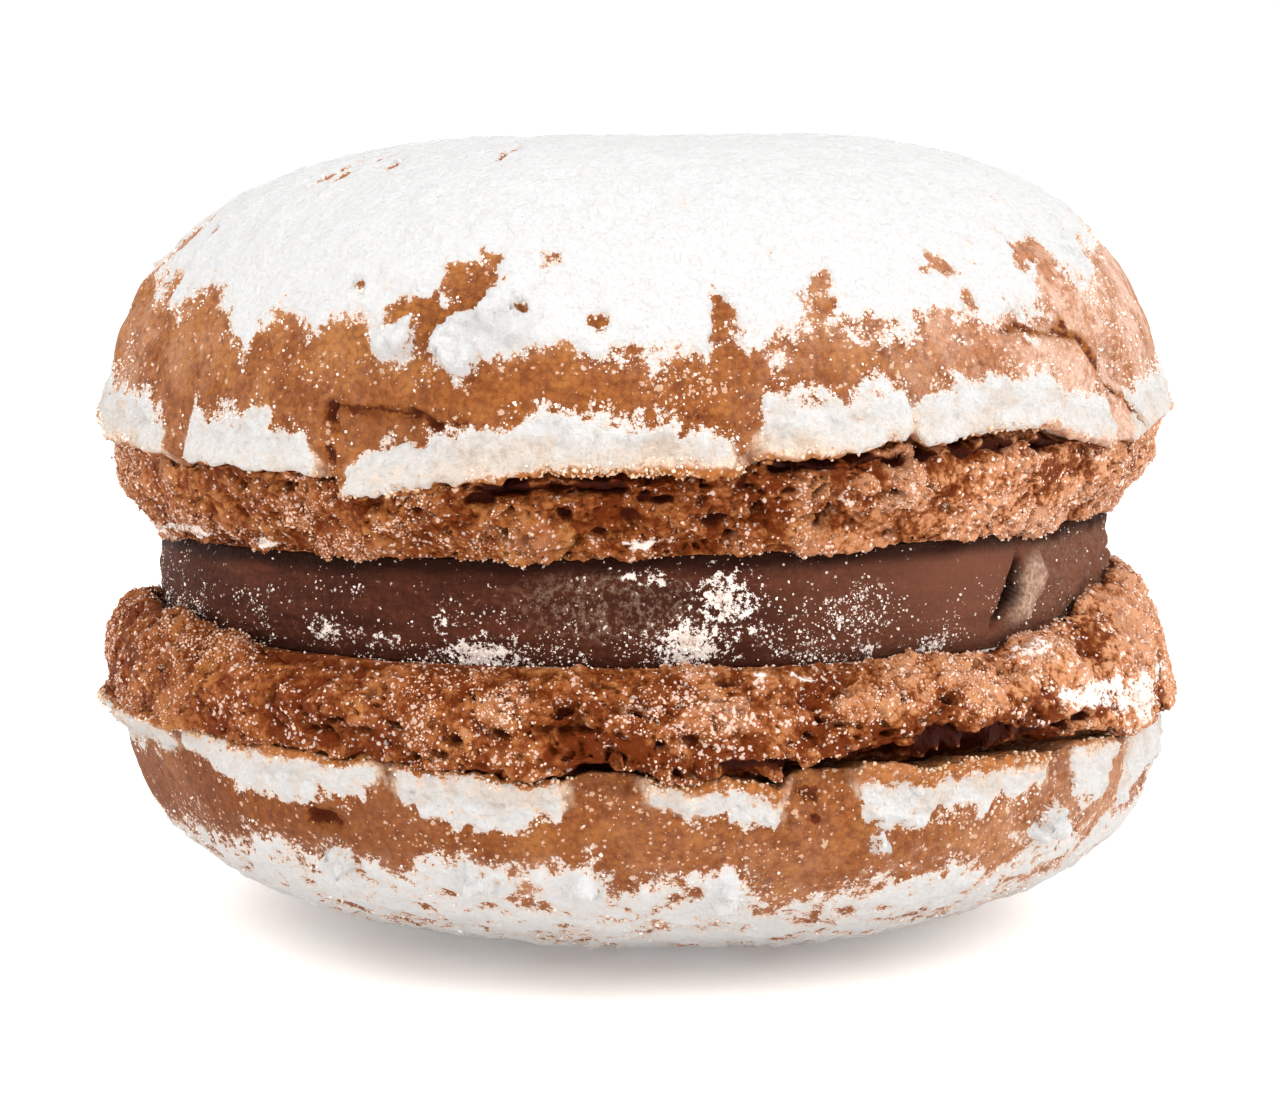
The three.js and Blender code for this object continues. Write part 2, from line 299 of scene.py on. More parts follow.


# Browned almond meringue with icing sugar on it: a matt, finely grained crust, mottled and freckled,
# under a soft white powder with lacy edges. Painted shade darkens its dents, the underside of its flaps,
# its shaded side and the low places between its grains and clods. The powder attribute is over 0 where
# sugar lies.
def bakedCrust(name, look):
    material, add, place = newMaterial(name)
    fact = {key: add("Attribute", {}, "Fac", attribute_name=key)
            for key in ("powder", "film", "paintedShade", "crack", "pale", "toast", "dust", "veil", "gold")}
    broad = add("TexNoise", {"Vector": place, "Scale": perMm / 2.0, "Detail": 4})
    fine = add("TexNoise", {"Vector": place, "Scale": perMm / 0.4, "Detail": 5, "Roughness": 0.8})
    powderNoise = add("TexNoise", {"Vector": place, "Scale": perMm / 0.55, "Detail": 5, "Roughness": 0.8})
    granule = add("TexVoronoi", {"Vector": place, "Scale": perMm / 0.26}, "Distance")

    tones = add("SeparateColor", {0: granule.node.outputs["Color"]})
    patches = add("MapRange", {0: broad, 1: 0.34, 2: 0.6}, **smoothly)
    lighter = add("MapRange", {0: fine, 1: 0.43, 2: 0.6, 4: 0.75})
    paler = add("MapRange", {0: fact["film"], 1: 0.25, 2: 0.9, 4: 0.85})
    golden = add("Math", {0: fact["gold"], 1: 0.18, 2: broad}, **timesPlus)
    golden = add("MapRange", {0: golden, 1: 0.55, 2: 0.68, 4: 0.65}, **smoothly)
    freckled = add("MapRange", {0: fine, 1: 0.475, 2: 0.37, 4: 0.7}, **smoothly)
    crumbly = add("MapRange", {0: fact["toast"], 3: 0.4, 4: 0.9})
    grainy = add("Math", {0: tones, 1: crumbly}, **times)
    # painted shade: darker towards the edges of the grains, where the bump sinks
    shaded = add("MapRange", {0: granule, 1: 0.35, 2: 0.85, 4: 0.5}, **smoothly)
    hazy = add("Math", {0: broad, 1: 0.7, 2: powderNoise}, **timesPlus)
    hazy = add("MapRange", {0: hazy, 1: 0.7, 2: 0.98, 3: 0.2}, **smoothly)
    hazy = add("Math", {0: hazy, 1: fact["film"]}, **times)
    broken = add("MapRange", {0: fine, 1: 0.36, 2: 0.6, 3: 0.65})
    hazy = add("Math", {0: hazy, 1: broken}, **times)
    hazy = add("MapRange", {0: hazy, 4: 0.85})
    lacy = add("Math", {0: powderNoise, 1: laceSpread, 2: -laceSpread / 2}, **timesPlus)
    split = add("Math", {0: fact["crack"], 1: 1.7, 2: lacy}, **timesPlus)
    split = add("MapRange", {0: split, 1: -0.1, 2: 0.2, 4: 0.92}, **smoothly)
    near = add("MapRange", {0: fact["powder"], 1: -1.1, 2: 0.2, 3: look["specks"], 4: look["specks"] + 0.34})
    density = add("Math", {0: fact["dust"], 1: look["dustSpecks"], 2: near}, **timesPlus)
    density = add("Math", {0: fact["toast"], 1: 0.3, 2: density}, **timesPlus)
    dots = add("Math", {0: specks(add, place, 0.3, density, 0.3), 1: specks(add, place, 0.17, density, 0.34)},
               operation="MAXIMUM")
    dots = add("Math", {0: dots, 1: 0.85}, **times)
    dryness = add("MapRange", {0: fact["powder"], 1: -1.0, 2: 0.1}, **smoothly)
    dryness = add("Math", {0: dryness, 1: hazy}, operation="MAXIMUM")
    fleck = add("Mix", {0: dryness, 6: look["fleck"], 7: look["thinSugar"]}, 2, **mixing)
    brown = add("Mix", {0: patches, 6: look["deep"], 7: look["main"]}, 2, **mixing)
    for share, key in (
        (lighter, "light"), (golden, "gold"), (paler, "pale"), (freckled, "freckleAndShade"), (fact["paintedShade"], "freckleAndShade"),
        (fact["pale"], "lip"), (fact["toast"], "toast"), (grainy, "light"), (shaded, "deep"), (hazy, "film"),
        (split, "crack"),
    ):
        brown = add("Mix", {0: share, 6: brown, 7: look[key]}, 2, **mixing)
    brown = add("Mix", {0: dots, 6: brown, 7: fleck}, 2, **mixing)

    # the powder: thin at its edge, where the noise breaks it into lace, and white where it lies thick
    edge = add("Math", {0: lacy, 1: fact["powder"]}, operation="ADD")
    cover = add("MapRange", {0: edge, 1: -0.05, 2: 0.08}, **smoothly)
    thick = add("MapRange", {0: edge, 1: 0.0, 2: 0.4}, **smoothly)
    sugar = add("Mix", {0: fact["veil"], 6: look["sugar"], 7: look["flapSugar"]}, 2, **mixing)
    # painted shade in the sugar's low places, between its clods
    sunk = add("Math", {0: granule, 1: -0.16, 2: fine}, **timesPlus)
    sunk = add("MapRange", {0: sunk, 1: 0.47, 2: 0.24}, **smoothly)
    veiled = add("MapRange", {0: fact["veil"], 3: 0.14, 4: 0.8})
    sunk = add("Math", {0: sunk, 1: veiled}, **times)
    sugar = add("Mix", {0: sunk, 6: sugar, 7: look["shadedSugar"]}, 2, **mixing)
    white = add("Mix", {0: thick, 6: look["thinSugar"], 7: sugar}, 2, **mixing)
    colour = add("Mix", {0: cover, 6: brown, 7: white}, 2, **mixing)

    rough = add("MapRange", {0: cover, 3: 0.62, 4: 0.95})
    height = add("Math", {0: granule, 1: -0.5, 2: fine}, **timesPlus)
    height = add("Math", {0: powderNoise, 1: 1.2, 2: height}, **timesPlus)
    bump = add("Bump", {"Height": height, "Strength": 1.0, "Distance": 0.26 * metre})
    surface = add("BsdfPrincipled", {
        "Base Color": colour, "Roughness": rough, "Specular IOR Level": 0.15, "IOR": 1.45, "Normal": bump,
    })
    add("OutputMaterial", {"Surface": surface})
    return material


crumbLook = {
    "deep": "#5b2200",  # painted shade on its walls where they lie low between the lumps
    "main": "#884c24",  # moist and browned
    "amber": "#a1662f",  # painted light: a glow on the raised lumps, as if light got into a thin wall
    "pale": "#a87a5e",  # sugar that melted on the lumps, a little pink
    "pit": "#3c1000",  # painted shade inside a pore and in the crevices under the flaps
    "cavity": "#2b0800",  # painted shade in the deepest part of it
    "sunny": "#cb916b",  # painted light: the right side, lit more brightly, so paler and more orange
    "crystal": "#ead5c9",
    "sugar": "#e6dcd4",  # powder that drifted onto it
    "crystals": 0.5,  # how densely the crystals stand where they gather
}


# The open crumb of the meringue: a moist, sugary foam. Painted light makes its raised lumps amber and its
# right side paler, painted shade makes it dark brown between the lumps and nearly black in its pores, and
# melted sugar and crystals, painted brighter on the lit side, catch the light on the lumps.
def openCrumb(name, look):
    material, add, place = newMaterial(name)
    fact = {key: add("Attribute", {}, "Fac", attribute_name=key)
            for key in ("rise", "pit", "sun", "dust", "tone", "powder")}
    broad = add("TexNoise", {"Vector": place, "Scale": perMm / 1.8, "Detail": 3, "Roughness": 0.55})
    fine = add("TexNoise", {"Vector": place, "Scale": perMm / 0.55, "Detail": 6, "Roughness": 0.75}, "Fac")
    cells = add("TexVoronoi", {"Vector": place, "Scale": perMm / 0.24}, "Distance")
    tones = add("SeparateColor", {0: cells.node.outputs["Color"]})
    small = add("TexVoronoi", {"Vector": place, "Scale": perMm / 0.14}, "Distance")
    smallTones = add("SeparateColor", {0: small.node.outputs["Color"]})

    level = -1.75
    for part, weight in ((fine, 2.8), (fact["rise"], 2.0), (cells, -0.6), (tones, 0.4), (smallTones, 0.3)):
        level = add("Math", {0: part, 1: weight, 2: level}, **timesPlus)
    level = add("Math", {0: level, 1: fact["tone"]}, operation="ADD")
    # painted shade on the walls where the surface lies low between the lumps
    walls = add("MapRange", {0: level, 1: -1.3, 2: -0.3}, **smoothly)
    # painted light: an amber glow on the raised lumps, as if light got into thin walls
    amber = add("MapRange", {0: broad, 1: 0.42, 2: 0.62, 4: 0.85}, **smoothly)
    lit = add("MapRange", {0: level, 1: -0.8, 2: 0.0}, **smoothly)
    amber = add("Math", {0: amber, 1: lit}, **times)
    melted = add("MapRange", {0: level, 1: -0.45, 2: 0.25}, **smoothly)
    melted = add("Math", {0: melted, 1: fact["dust"]}, **times)
    # painted light on the raised lumps of the brightly lit right side
    sunlit = add("Math", {0: fact["sun"], 1: lit}, **times)
    # painted shade in the pores and cavities, darkest in the deepest of them
    hollow = add("Math", {0: fine, 1: -1.6, 2: 0.8}, **timesPlus)
    hollow = add("Math", {0: hollow, 1: fact["pit"]}, operation="ADD")
    hollow = add("MapRange", {0: hollow, 1: 0.25, 2: 1.0}, **smoothly)
    inmost = add("Math", {0: fine, 1: -2.4, 2: fact["pit"]}, **timesPlus)
    inmost = add("MapRange", {0: inmost, 1: -0.1, 2: 0.7}, **smoothly)
    gathered = add("Math", {0: fine, 1: -0.5, 2: broad}, **timesPlus)
    clusters = add("MapRange", {0: gathered, 1: 0.3, 2: 0.12, 3: 0.03, 4: 1.0}, **smoothly)
    strewn = add("MapRange", {0: fact["dust"], 3: 0.35, 4: 1.0})
    clusters = add("Math", {0: clusters, 1: strewn}, **times)
    clusters = add("Math", {0: clusters, 1: look["crystals"]}, **times)
    bits = []  # crystals: some of the cells of both sizes, up to a share of their width
    for cell, tone, reach in ((cells, tones, 0.4), (small, smallTones, 0.42)):
        present = add("Math", {0: tone.node.outputs[1], 1: clusters}, operation="LESS_THAN")
        frayed = add("Math", {0: fine, 1: -1.1, 2: cell}, **timesPlus)
        inside = add("Math", {0: frayed, 1: reach - 0.55}, operation="LESS_THAN")
        bits.append(add("Math", {0: present, 1: inside}, **times))
    dots = add("Math", {0: bits[0], 1: bits[1]}, operation="MAXIMUM")
    outside = add("MapRange", {0: fact["pit"], 2: 0.6, 3: 0.8, 4: 0.0})  # no crystals down in the pores
    dots = add("Math", {0: dots, 1: outside}, **times)
    # crystals painted brighter on the lit right side
    bright = add("MapRange", {0: fact["sun"], 3: 0.6, 4: 1.0})
    dots = add("Math", {0: dots, 1: bright}, **times)
    edge = add("Math", {0: fine, 1: laceSpread, 2: -laceSpread / 2}, **timesPlus)
    edge = add("Math", {0: edge, 1: fact["powder"]}, operation="ADD")
    cover = add("MapRange", {0: edge, 1: 0.0, 2: 0.3, 4: 0.9}, **smoothly)
    colour = add("Mix", {0: walls, 6: look["deep"], 7: look["main"]}, 2, **mixing)
    for share, key in (
        (amber, "amber"), (sunlit, "sunny"), (melted, "pale"), (hollow, "pit"), (inmost, "cavity"),
        (dots, "crystal"), (cover, "sugar"),
    ):
        colour = add("Mix", {0: share, 6: colour, 7: look[key]}, 2, **mixing)
    height = add("Math", {0: cells, 1: -0.35, 2: fine}, **timesPlus)
    height = add("Math", {0: small, 1: -0.2, 2: height}, **timesPlus)
    bump = add("Bump", {"Height": height, "Strength": 1.0, "Distance": 0.21 * metre})
    surface = add("BsdfPrincipled", {
        "Base Color": colour, "Roughness": 0.5, "Specular IOR Level": 0.1, "IOR": 1.45, "Normal": bump,
    })
    add("OutputMaterial", {"Surface": surface})
    return material


creamLook = {
    "deep": "#33150b",  # between the smears
    "main": "#4c2618",  # on them
    "smear": "#613321",  # on the most raised ones
    "sunlitEnd": "#6b4231",  # painted light: the right end, paler as if lit more brightly
    "dry": "#75604f",  # the scuffed patch
    "split": "#1f0a03",  # painted shade: down in the split, and along the cream's edges under the biscuits
    "chip": "#a58875",  # the broken place beside it
    "sugar": "#e4dad2",
    "shadedDabSugar": "#b9a396",  # painted shade lower in a dab, between its grains
}


# Chocolate cream, spread and set: dense and satin, smeared along the rim, with a dry scuffed patch and
# icing sugar that fell on it. Painted shade darkens its split and its edges under the biscuits, and its
# right end is painted lighter as if lit.
def chocolateCream(name, look):
    material, add, place = newMaterial(name)
    fact = {key: add("Attribute", {}, "Fac", attribute_name=key)
            for key in ("dry", "paintedShade", "chip", "powder", "dust", "sun")}
    along = add("VectorMath", {0: place, 1: (0.35, 0.35, 1.6)}, **times)  # smears run round the rim
    streak = add("TexNoise", {"Vector": along, "Scale": perMm / 1.6, "Detail": 5, "Roughness": 0.68})
    fine = add("TexNoise", {"Vector": place, "Scale": perMm / 0.25, "Detail": 4, "Roughness": 0.75})
    lace = add("TexNoise", {"Vector": place, "Scale": perMm / 0.5, "Detail": 4, "Roughness": 0.8})
    mottled = add("Math", {0: fine, 1: 0.7, 2: streak}, **timesPlus)
    smeared = add("MapRange", {0: mottled, 1: 0.67, 2: 1.0}, **smoothly)
    reddish = add("MapRange", {0: mottled, 1: 0.88, 2: 1.1, 4: 0.45}, **smoothly)
    # painted light: the right end paler, as if lit more brightly
    sunlitEndShare = add("Math", {0: fact["sun"], 1: 0.9}, **times)
    patchy = add("MapRange", {0: fine, 1: 0.47, 2: 0.62, 4: 0.75}, **smoothly)
    patchy = add("Math", {0: patchy, 1: fact["dry"]}, **times)
    chipped = add("MapRange", {0: fine, 1: 0.4, 2: 0.58, 3: 0.35}, **smoothly)
    chipped = add("Math", {0: chipped, 1: fact["chip"]}, **times)
    density = add("Math", {0: fact["dust"], 1: 0.16}, **times)
    dots = add("Math", {0: specks(add, place, 0.26, density, 0.26), 1: specks(add, place, 0.15, density, 0.34)},
               operation="MAXIMUM")
    edge = add("Math", {0: lace, 1: 2.6, 2: -3.2}, **timesPlus)
    edge = add("Math", {0: fine, 1: 3.8, 2: edge}, **timesPlus)
    edge = add("Math", {0: edge, 1: fact["powder"]}, operation="ADD")
    cover = add("MapRange", {0: edge, 1: 0.0, 2: 0.3}, **smoothly)
    dots = add("Math", {0: dots, 1: 0.72}, **times)
    cover = add("Math", {0: cover, 1: dots}, operation="MAXIMUM")
    cover = add("Math", {0: cover, 1: 0.92}, **times)
    # painted shade where the fine grain of a dab sinks
    sunk = add("MapRange", {0: fine, 1: 0.58, 2: 0.4}, **smoothly)
    sugar = add("Mix", {0: sunk, 6: look["sugar"], 7: look["shadedDabSugar"]}, 2, **mixing)
    colour = add("Mix", {0: smeared, 6: look["deep"], 7: look["main"]}, 2, **mixing)
    for share, key in (
        (reddish, "smear"), (sunlitEndShare, "sunlitEnd"), (patchy, "dry"), (chipped, "chip"), (fact["paintedShade"], "split"),
    ):
        colour = add("Mix", {0: share, 6: colour, 7: look[key]}, 2, **mixing)
    colour = add("Mix", {0: cover, 6: colour, 7: sugar}, 2, **mixing)
    rough = add("MapRange", {0: cover, 3: 0.66, 4: 0.9})
    bump = add("Bump", {"Height": fine, "Strength": 1.0, "Distance": 0.22 * metre})
    surface = add("BsdfPrincipled", {
        "Base Color": colour, "Roughness": rough, "Specular IOR Level": 0.1, "IOR": 1.4, "Normal": bump,
    })
    add("OutputMaterial", {"Surface": surface})
    return material


# Grains of icing sugar: white where they lie loose, and browner where they have drawn moisture.
def icingSugar(name, moist, dry):
    material, add, place = newMaterial(name)
    noise = add("TexNoise", {"Vector": place, "Scale": perMm / 0.4, "Detail": 1})
    dryness = add("MapRange", {0: noise, 1: 0.35, 2: 0.65})
    tone = add("Mix", {0: dryness, 6: moist, 7: dry}, 2, **mixing)
    surface = add("BsdfPrincipled", {"Base Color": tone, "Roughness": 0.7, "IOR": 1.5})
    add("OutputMaterial", {"Surface": surface})
    return material


# The biscuits

# heights of the two flat faces above the table
lowerFace = 13.4
upperFace = 17.6

# columns round each surface, and rows along each part of it
crustGrid = {"columns": 760, "side": 110, "rim": 7, "under": 9}
crumbGrid = {"columns": 930, "hidden": 3, "ledge": 20, "side": 74, "rim": 5}
creamGrid = {"columns": 900, "side": 84}

# heights at which the two pieces of a biscuit close inside it, where nobody sees them
crustClose = 4.6
crumbClose = 4.4
betweenFlaps = 0.35  # how far the crust's edge stands back between two flaps


# Flaps as dictionaries, from rows in the order of these keys. A row can leave out the last two, and then
# the cream shows through as usual.
def flapsFrom(rows, usual):
    keys = ("from", "to", "heights", "band", "bare", "toast", "cream", "out")
    return [{"cream": usual} | dict(zip(keys, row)) for row in rows]


# The same sizes as the solid biscuits have, with the fine features of their surface.
# lean: how far the flat face rises per millimetre to the right. tip: how far the dome slides to the right,
#   and how it leans instead.
# crumb: the open ring under the flaps. rims: where it hangs over the filling, crevices: where it stands
#   back under the flaps, both as angle, spread and size. undercut: how far it stands back under a flap.
# flaps: pieces of the crust's flared edge. heights are those of its rim at its start, middle and end,
#   band is how far the sugar reaches up it at those places, bare how wide the strip without sugar at its
#   lower edge is, toast how much of that strip is golden and crumbly, cream how far its colour shows
#   through the sugar, and out how much farther than the others it stands out.
# dents, dust and drifts: oval places as angle, height, width, height across, and depth or amount.
# firm: how sharply the coat ends at each angle. ragged: how uneven it is.
# film, gold: how much thin sugar and warmer brown the crust has at each angle; the film on the right and the
#   gold on the upper left also paint brighter light. brownedAndShaded: painted shade on the crust at each
#   angle. sun, shade: painted light and painted shade on the crumb. melt: how sugared the crumb is.
# coat: the lower edge of the sugar coat on the dome, as (angle, height) round the biscuit.
# spots: round places (angle, height, size) with more sugar (over 0) or less (under 0) than round them.
# cracks: half their width, their depth, and their line of (angle, height).
upperBiscuit = {
    "face": upperFace,
    "side": 1,
    "lean": 0.0211,
    "tip": {"slide": 0.0, "lean": 0.0211},
    "dome": {"radius": 22.6, "top": 16.0, "waist": 4.3, "shoulder": 3.69, "crown": 1.96},
    "lip": {"height": 3.3, "flare": 0.45, "reach": 1.3, "thick": 0.26},
    "crumb": {
        "rim": 20.7, "radius": 22.3, "widest": 2.9, "taper": 1.3, "lumps": 0.26, "hollow": 0.9,
        # named cavities: angle, height, width, height across, depth
        "holes": [
            (-12.5, 2.75, 2.4, 1.2, 1.2), (-14.8, 2.3, 1.8, 0.8, 0.9), (-8.2, 2.9, 1.7, 0.9, 1),
            (-5.2, 2.9, 1.4, 0.8, 0.9), (-2.2, 2.8, 2.3, 1.1, 1.4), (-6.5, 1.5, 1.1, 0.7, 1.1),
            (-3.2, 0.9, 0.9, 0.5, 0.8), (-0.4, 1.5, 0.9, 1.1, 0.7), (3.1, 2.15, 1.5, 0.9, 1.1),
            (1, 2.3, 1.3, 0.8, 0.8), (7.9, 1.25, 1.5, 0.7, 1), (-12.1, 1.8, 0.7, 0.4, 0.5),
            (-12.7, 0.9, 0.7, 0.5, 0.5), (14.4, 3.35, 2, 0.8, 1.1), (18.9, 3.6, 2.6, 0.9, 1.4),
            (23.3, 3.55, 2.6, 0.8, 1.2), (26.9, 3.4, 1.8, 0.9, 1), (15.2, 2.3, 1.3, 0.6, 0.7),
            (20.5, 2, 1.6, 0.6, 0.6), (10.7, 2.6, 1, 0.6, 0.7), (29.9, 3.55, 2, 0.8, 1.1),
            (35.8, 3.7, 2.4, 0.7, 0.9), (39.9, 3.7, 2.8, 0.8, 1.2), (46.6, 3.65, 2.8, 0.8, 1.1),
            (55.4, 3.6, 2.2, 0.6, 0.8), (-21.4, 1.9, 1, 0.5, 0.7), (-35.9, 2.8, 1.2, 0.5, 0.8),
            (-26, 2.2, 1.2, 0.5, 0.6),
        ],
        "mounds": [
            (29.5, 2.1, 3.4, 1.8, 0.3), (18, 2.4, 1.8, 1.1, 0.35), (23.5, 2.5, 2, 1, 0.3),
            (36.5, 2.8, 2.4, 1, 0.3), (44, 2.8, 2, 1, 0.3), (-24, 1.5, 3, 1.4, 0.2), (40, 1.6, 3.4, 1.4, 0.25),
            (62, 1.4, 3, 1.4, 0.2),
        ],
    },
    "undercut": 0.8,
    "rims": [],
    "flaps": flapsFrom([
        (-86, -52, (5.2, 4.2, 3.7), (2.6, 2.2, 1.9), (0.3, 0.2, 0.1), (0.15, 0.15, 0.1), (0.5, 0.4, 0.4)),
        (-50, -31, (3.6, 3.5, 3.3), (1.9, 2.1, 1.5), (-0.4, -0.4, -0.4), (0, 0, 0), (0.3, 0.15, 0.1)),
        (-29, 10.5, (2.2, 3.25, 3.05), (1.5, 2.2, 1.9), (-0.1, 0.2, 0.75), (0.05, 0.3, 0.4), (0.2, 0.65, 1)),
        (11.7, 28, (3.45, 3.75, 4.2), (2.7, 2.4, 1.7), (0.55, 0.2, -0.2), (0.3, 0.1, 0.05), (1, 0.5, 0.15)),
        (27.4, 57, (3.8, 4.2, 3), (2.3, 1.9, 1.7), (-0.3, 0.1, 0.3), (0.1, 0.35, 0.35), (0.1, 0.2, 0.4)),
        (60, 96, (3.3, 4.3, 4.6), (1.9, 2.2, 2.2), (-0.2, 0.1, 0.2), (0.1, 0.1, 0.2)),
        (99, 128, (4.4, 3.7, 3.4), (1.9, 2.1, 1.5), (0.1, 0.3, 0.6), (0.2, 0.3, 0.1)),
        (131, 152, (3, 3.4, 3.5), (1.4, 2, 1.8), (-0.2, 0.1, 0.1), (0, 0.2, 0.3)),
        (155, 196, (3.7, 3, 3.3), (2.1, 1.7, 2), (0, 0.4, 0.2), (0.1, 0.4, 0.2)),
        (199, 231, (3.3, 3.9, 3.6), (1.5, 2, 1.6), (-0.3, 0, 0.3), (0.3, 0.1, 0.1)),
        (234, 272, (3.4, 4.1, 5.3), (1.6, 2, 2.4), (0.4, 0.1, 0.3), (0.1, 0.3, 0.2)),
    ], (0.4, 0.3, 0.4)),
    "crevices": [(-4, 15, 0.7), (33, 26, 0.9), (150, 24, 0.6), (226, 18, 0.7)],
    "dents": [
        (-24, 4.9, 6.5, 2.4, 0.4), (46, 8.3, 5.5, 1.6, 0.35), (59, 6.4, 3.2, 2.8, 0.5),
        (168, 6.4, 5, 2.2, 0.45),
    ],
    "seed": 11,
    "coat": [
        (-180, 8.6), (-170, 9.6), (-160, 9.2), (-150, 8.2), (-140, 8), (-130, 9), (-118, 9), (-108, 8.2),
        (-100, 10.2), (-90, 11.8), (-82, 12.2), (-75, 11.5), (-70, 11.9), (-64, 11), (-56.5, 9.9),
        (-51.7, 10.7), (-47, 9.6), (-42, 8.1), (-41.4, 9.1), (-38, 9.7), (-34, 8.8), (-30, 9.5), (-28.7, 9.6),
        (-24.8, 8.1), (-23, 7.9), (-21.3, 8.6), (-18.8, 8.1), (-16.6, 7.3), (-15, 8), (-12.7, 7.85), (-8.8, 8),
        (-4.5, 7.8), (-3, 8), (0.8, 7.55), (2.4, 7.4), (3.6, 7.8), (5.5, 7.65), (7, 7.1), (8.3, 8.4),
        (9.8, 8.7), (11.2, 8), (13.8, 7.8), (15.4, 8.3), (17, 8.9), (20, 8.9), (21.3, 8.5), (24, 8.8),
        (27.4, 8.5), (31.5, 9), (33.5, 8.6), (37, 8.5), (42, 8.8), (48.7, 9.2), (52.4, 10.2), (57, 10.1),
        (64.9, 11.2), (80, 12), (96, 10.6), (110, 9.2), (125, 8.4), (140, 9.2), (150, 8.6), (160, 8.2),
    ],
    "firm": [
        (-180, 0.9), (-90, 0.6), (-60, 0.6), (-35, 1.1), (-10, 1.2), (0, 0.9), (13, 0.9), (25, 1), (50, 0.8),
        (70, 0.7), (120, 0.9),
    ],
    "most": 1.1,  # how thick the coat gets, where 0 is bare
    "ragged": 0.95,
    "spots": [
        (-20.4, 9.5, 0.95, -1.7), (-18.4, 9.8, 0.75, -1.7), (-23.4, 9.3, 0.6, -1.5), (-14.6, 10.7, 0.85, -1.7),
        (-15.6, 10, 0.6, -1.5), (-7.9, 10.9, 0.5, -1.6), (-29.2, 10.2, 0.25, -1.9), (-10.9, 9.2, 0.18, -1.7),
        (-3.3, 8.8, 0.4, -1.9), (8.2, 8.9, 0.45, -1.9), (7.6, 9.5, 0.35, -1.7), (19.3, 9.9, 0.5, -1.8),
        (18, 9.2, 0.4, -1.7), (48.7, 10.9, 0.55, -1.9), (52, 10.6, 0.6, -1.9), (50.8, 10, 0.7, -1.6),
        (35.2, 10.5, 0.4, -1.9), (34, 10.9, 0.3, -1.7), (37, 9.4, 0.35, -1.5), (32.4, 10.3, 0.3, -1.2),
        (-52.6, 14.8, 0.5, -2.2), (-49, 14.9, 0.4, -2), (-41.4, 14.7, 0.35, -2), (-21, 15.2, 0.35, -2),
        (-61.6, 12.6, 0.4, -1.8), (-71.8, 12.2, 0.6, -1.6), (59.5, 10.7, 0.7, 0.9), (60.5, 11.5, 0.7, 0.7),
        (55.5, 9.4, 0.5, 0.5), (-22.3, 8.4, 0.75, 1), (-24.6, 8, 0.5, 0.8), (-17.6, 8.2, 0.75, 1.5),
        (-16.2, 7.5, 0.6, 1.5), (-13.4, 9, 1, 1.2), (-12, 8.4, 0.6, 0.9), (-19.2, 9, 0.45, -1.6),
        (-20.6, 8.2, 0.3, -1.2), (-15.6, 9, 0.25, -1.3), (-11.1, 9.3, 0.3, -1.5), (-45.6, 7, 0.25, 1.4),
        (-37, 6.9, 0.2, 1.2), (120, 11.6, 0.5, -1.8), (123, 11, 0.35, -1.7), (117, 12.3, 0.3, -1.7),
        (164, 10.4, 0.6, -1.8), (166.8, 10.9, 0.4, -1.7), (161, 9.8, 0.5, -1.5), (172, 12.9, 0.3, -1.7),
        (-150, 10.9, 0.4, -1.9), (-147, 11.4, 0.3, -1.8), (-143.5, 10.6, 0.3, -1.8), (-112, 10.8, 0.55, -1.8),
        (-109.6, 10.2, 0.5, -1.6), (-115, 10, 0.35, -1.6), (-104, 11.9, 0.3, -1.8), (186, 9.4, 0.9, 1.3),
        (184, 8.8, 0.6, 1.2), (-128, 9.8, 0.8, 1.2), (108, 9.9, 0.9, 1.2),
    ],
    "dust": [
        (5.5, 6.4, 5, 2.4, 1), (-18, 7.2, 7, 2, 0.5), (-34, 7.4, 7, 2.6, 0.5), (24, 7.2, 6, 2, 0.4),
        (62, 7.4, 9, 8, 0.8), (46, 7, 7, 4, 0.6), (-70, 6.8, 9, 5, 0.7), (150, 6.8, 12, 3, 0.7),
        (-140, 6.8, 12, 3, 0.6),
    ],
    "cracks": [
        (0.05, 0.15, [(40.5, 8), (43.7, 8.15), (46.6, 7.8), (48.9, 7.8), (51, 8.2)]),
        (0.14, 0.3, [(48.9, 7.8), (52, 7.7), (53.9, 6.8), (56.6, 5.85), (59.3, 5.3), (61.4, 4.8), (63, 4)]),
        (0.22, 0.5, [(-29.6, 5.85), (-30.2, 5.3), (-30, 5)]),  # the torn edges of the recess
        (0.16, 0.4, [(-29.5, 5.85), (-27.5, 5.65), (-25, 5.6)]),
        (0.1, 0.35, [(-25, 5.6), (-22.3, 5.55), (-19.7, 5.5)]),
        (0.18, 0.4, [(-19.5, 5.4), (-19.1, 5.1), (-18.2, 5.05)]),
        (0.06, 0.3, [(-18.2, 5.05), (-15.7, 5.25)]),
        (0.2, 0.5, [(-30.3, 4.4), (-29.9, 3.8)]),
        (0.02, 0.15, [(5.2, 5.3), (8.3, 5.25)]),
        (0.2, 0.4, [(170, 7), (176, 7.4), (183, 6.6), (188, 5.4)]),
        (0.18, 0.35, [(-128, 9), (-122, 7.6), (-119, 6)]),
    ],
    "film": [
        (-180, 0.2), (-90, 0.5), (-68, 0.3), (-50, 0.16), (-35, 0.08), (-18, 0.04), (5, 0.03), (22, 0.22),
        (36, 0.5), (48, 0.85), (100, 0.95), (140, 0.3),
    ],
    "haze": 0.2,  # how much of that film there is along the coat's edge
    "wrinkles": [(-80, 34, 0.36), (150, 30, 0.2)],  # where the side is puckered: angle, spread, height
    "brownedAndShaded": [(-180, 0.1), (0, 0)],
    "gold": [
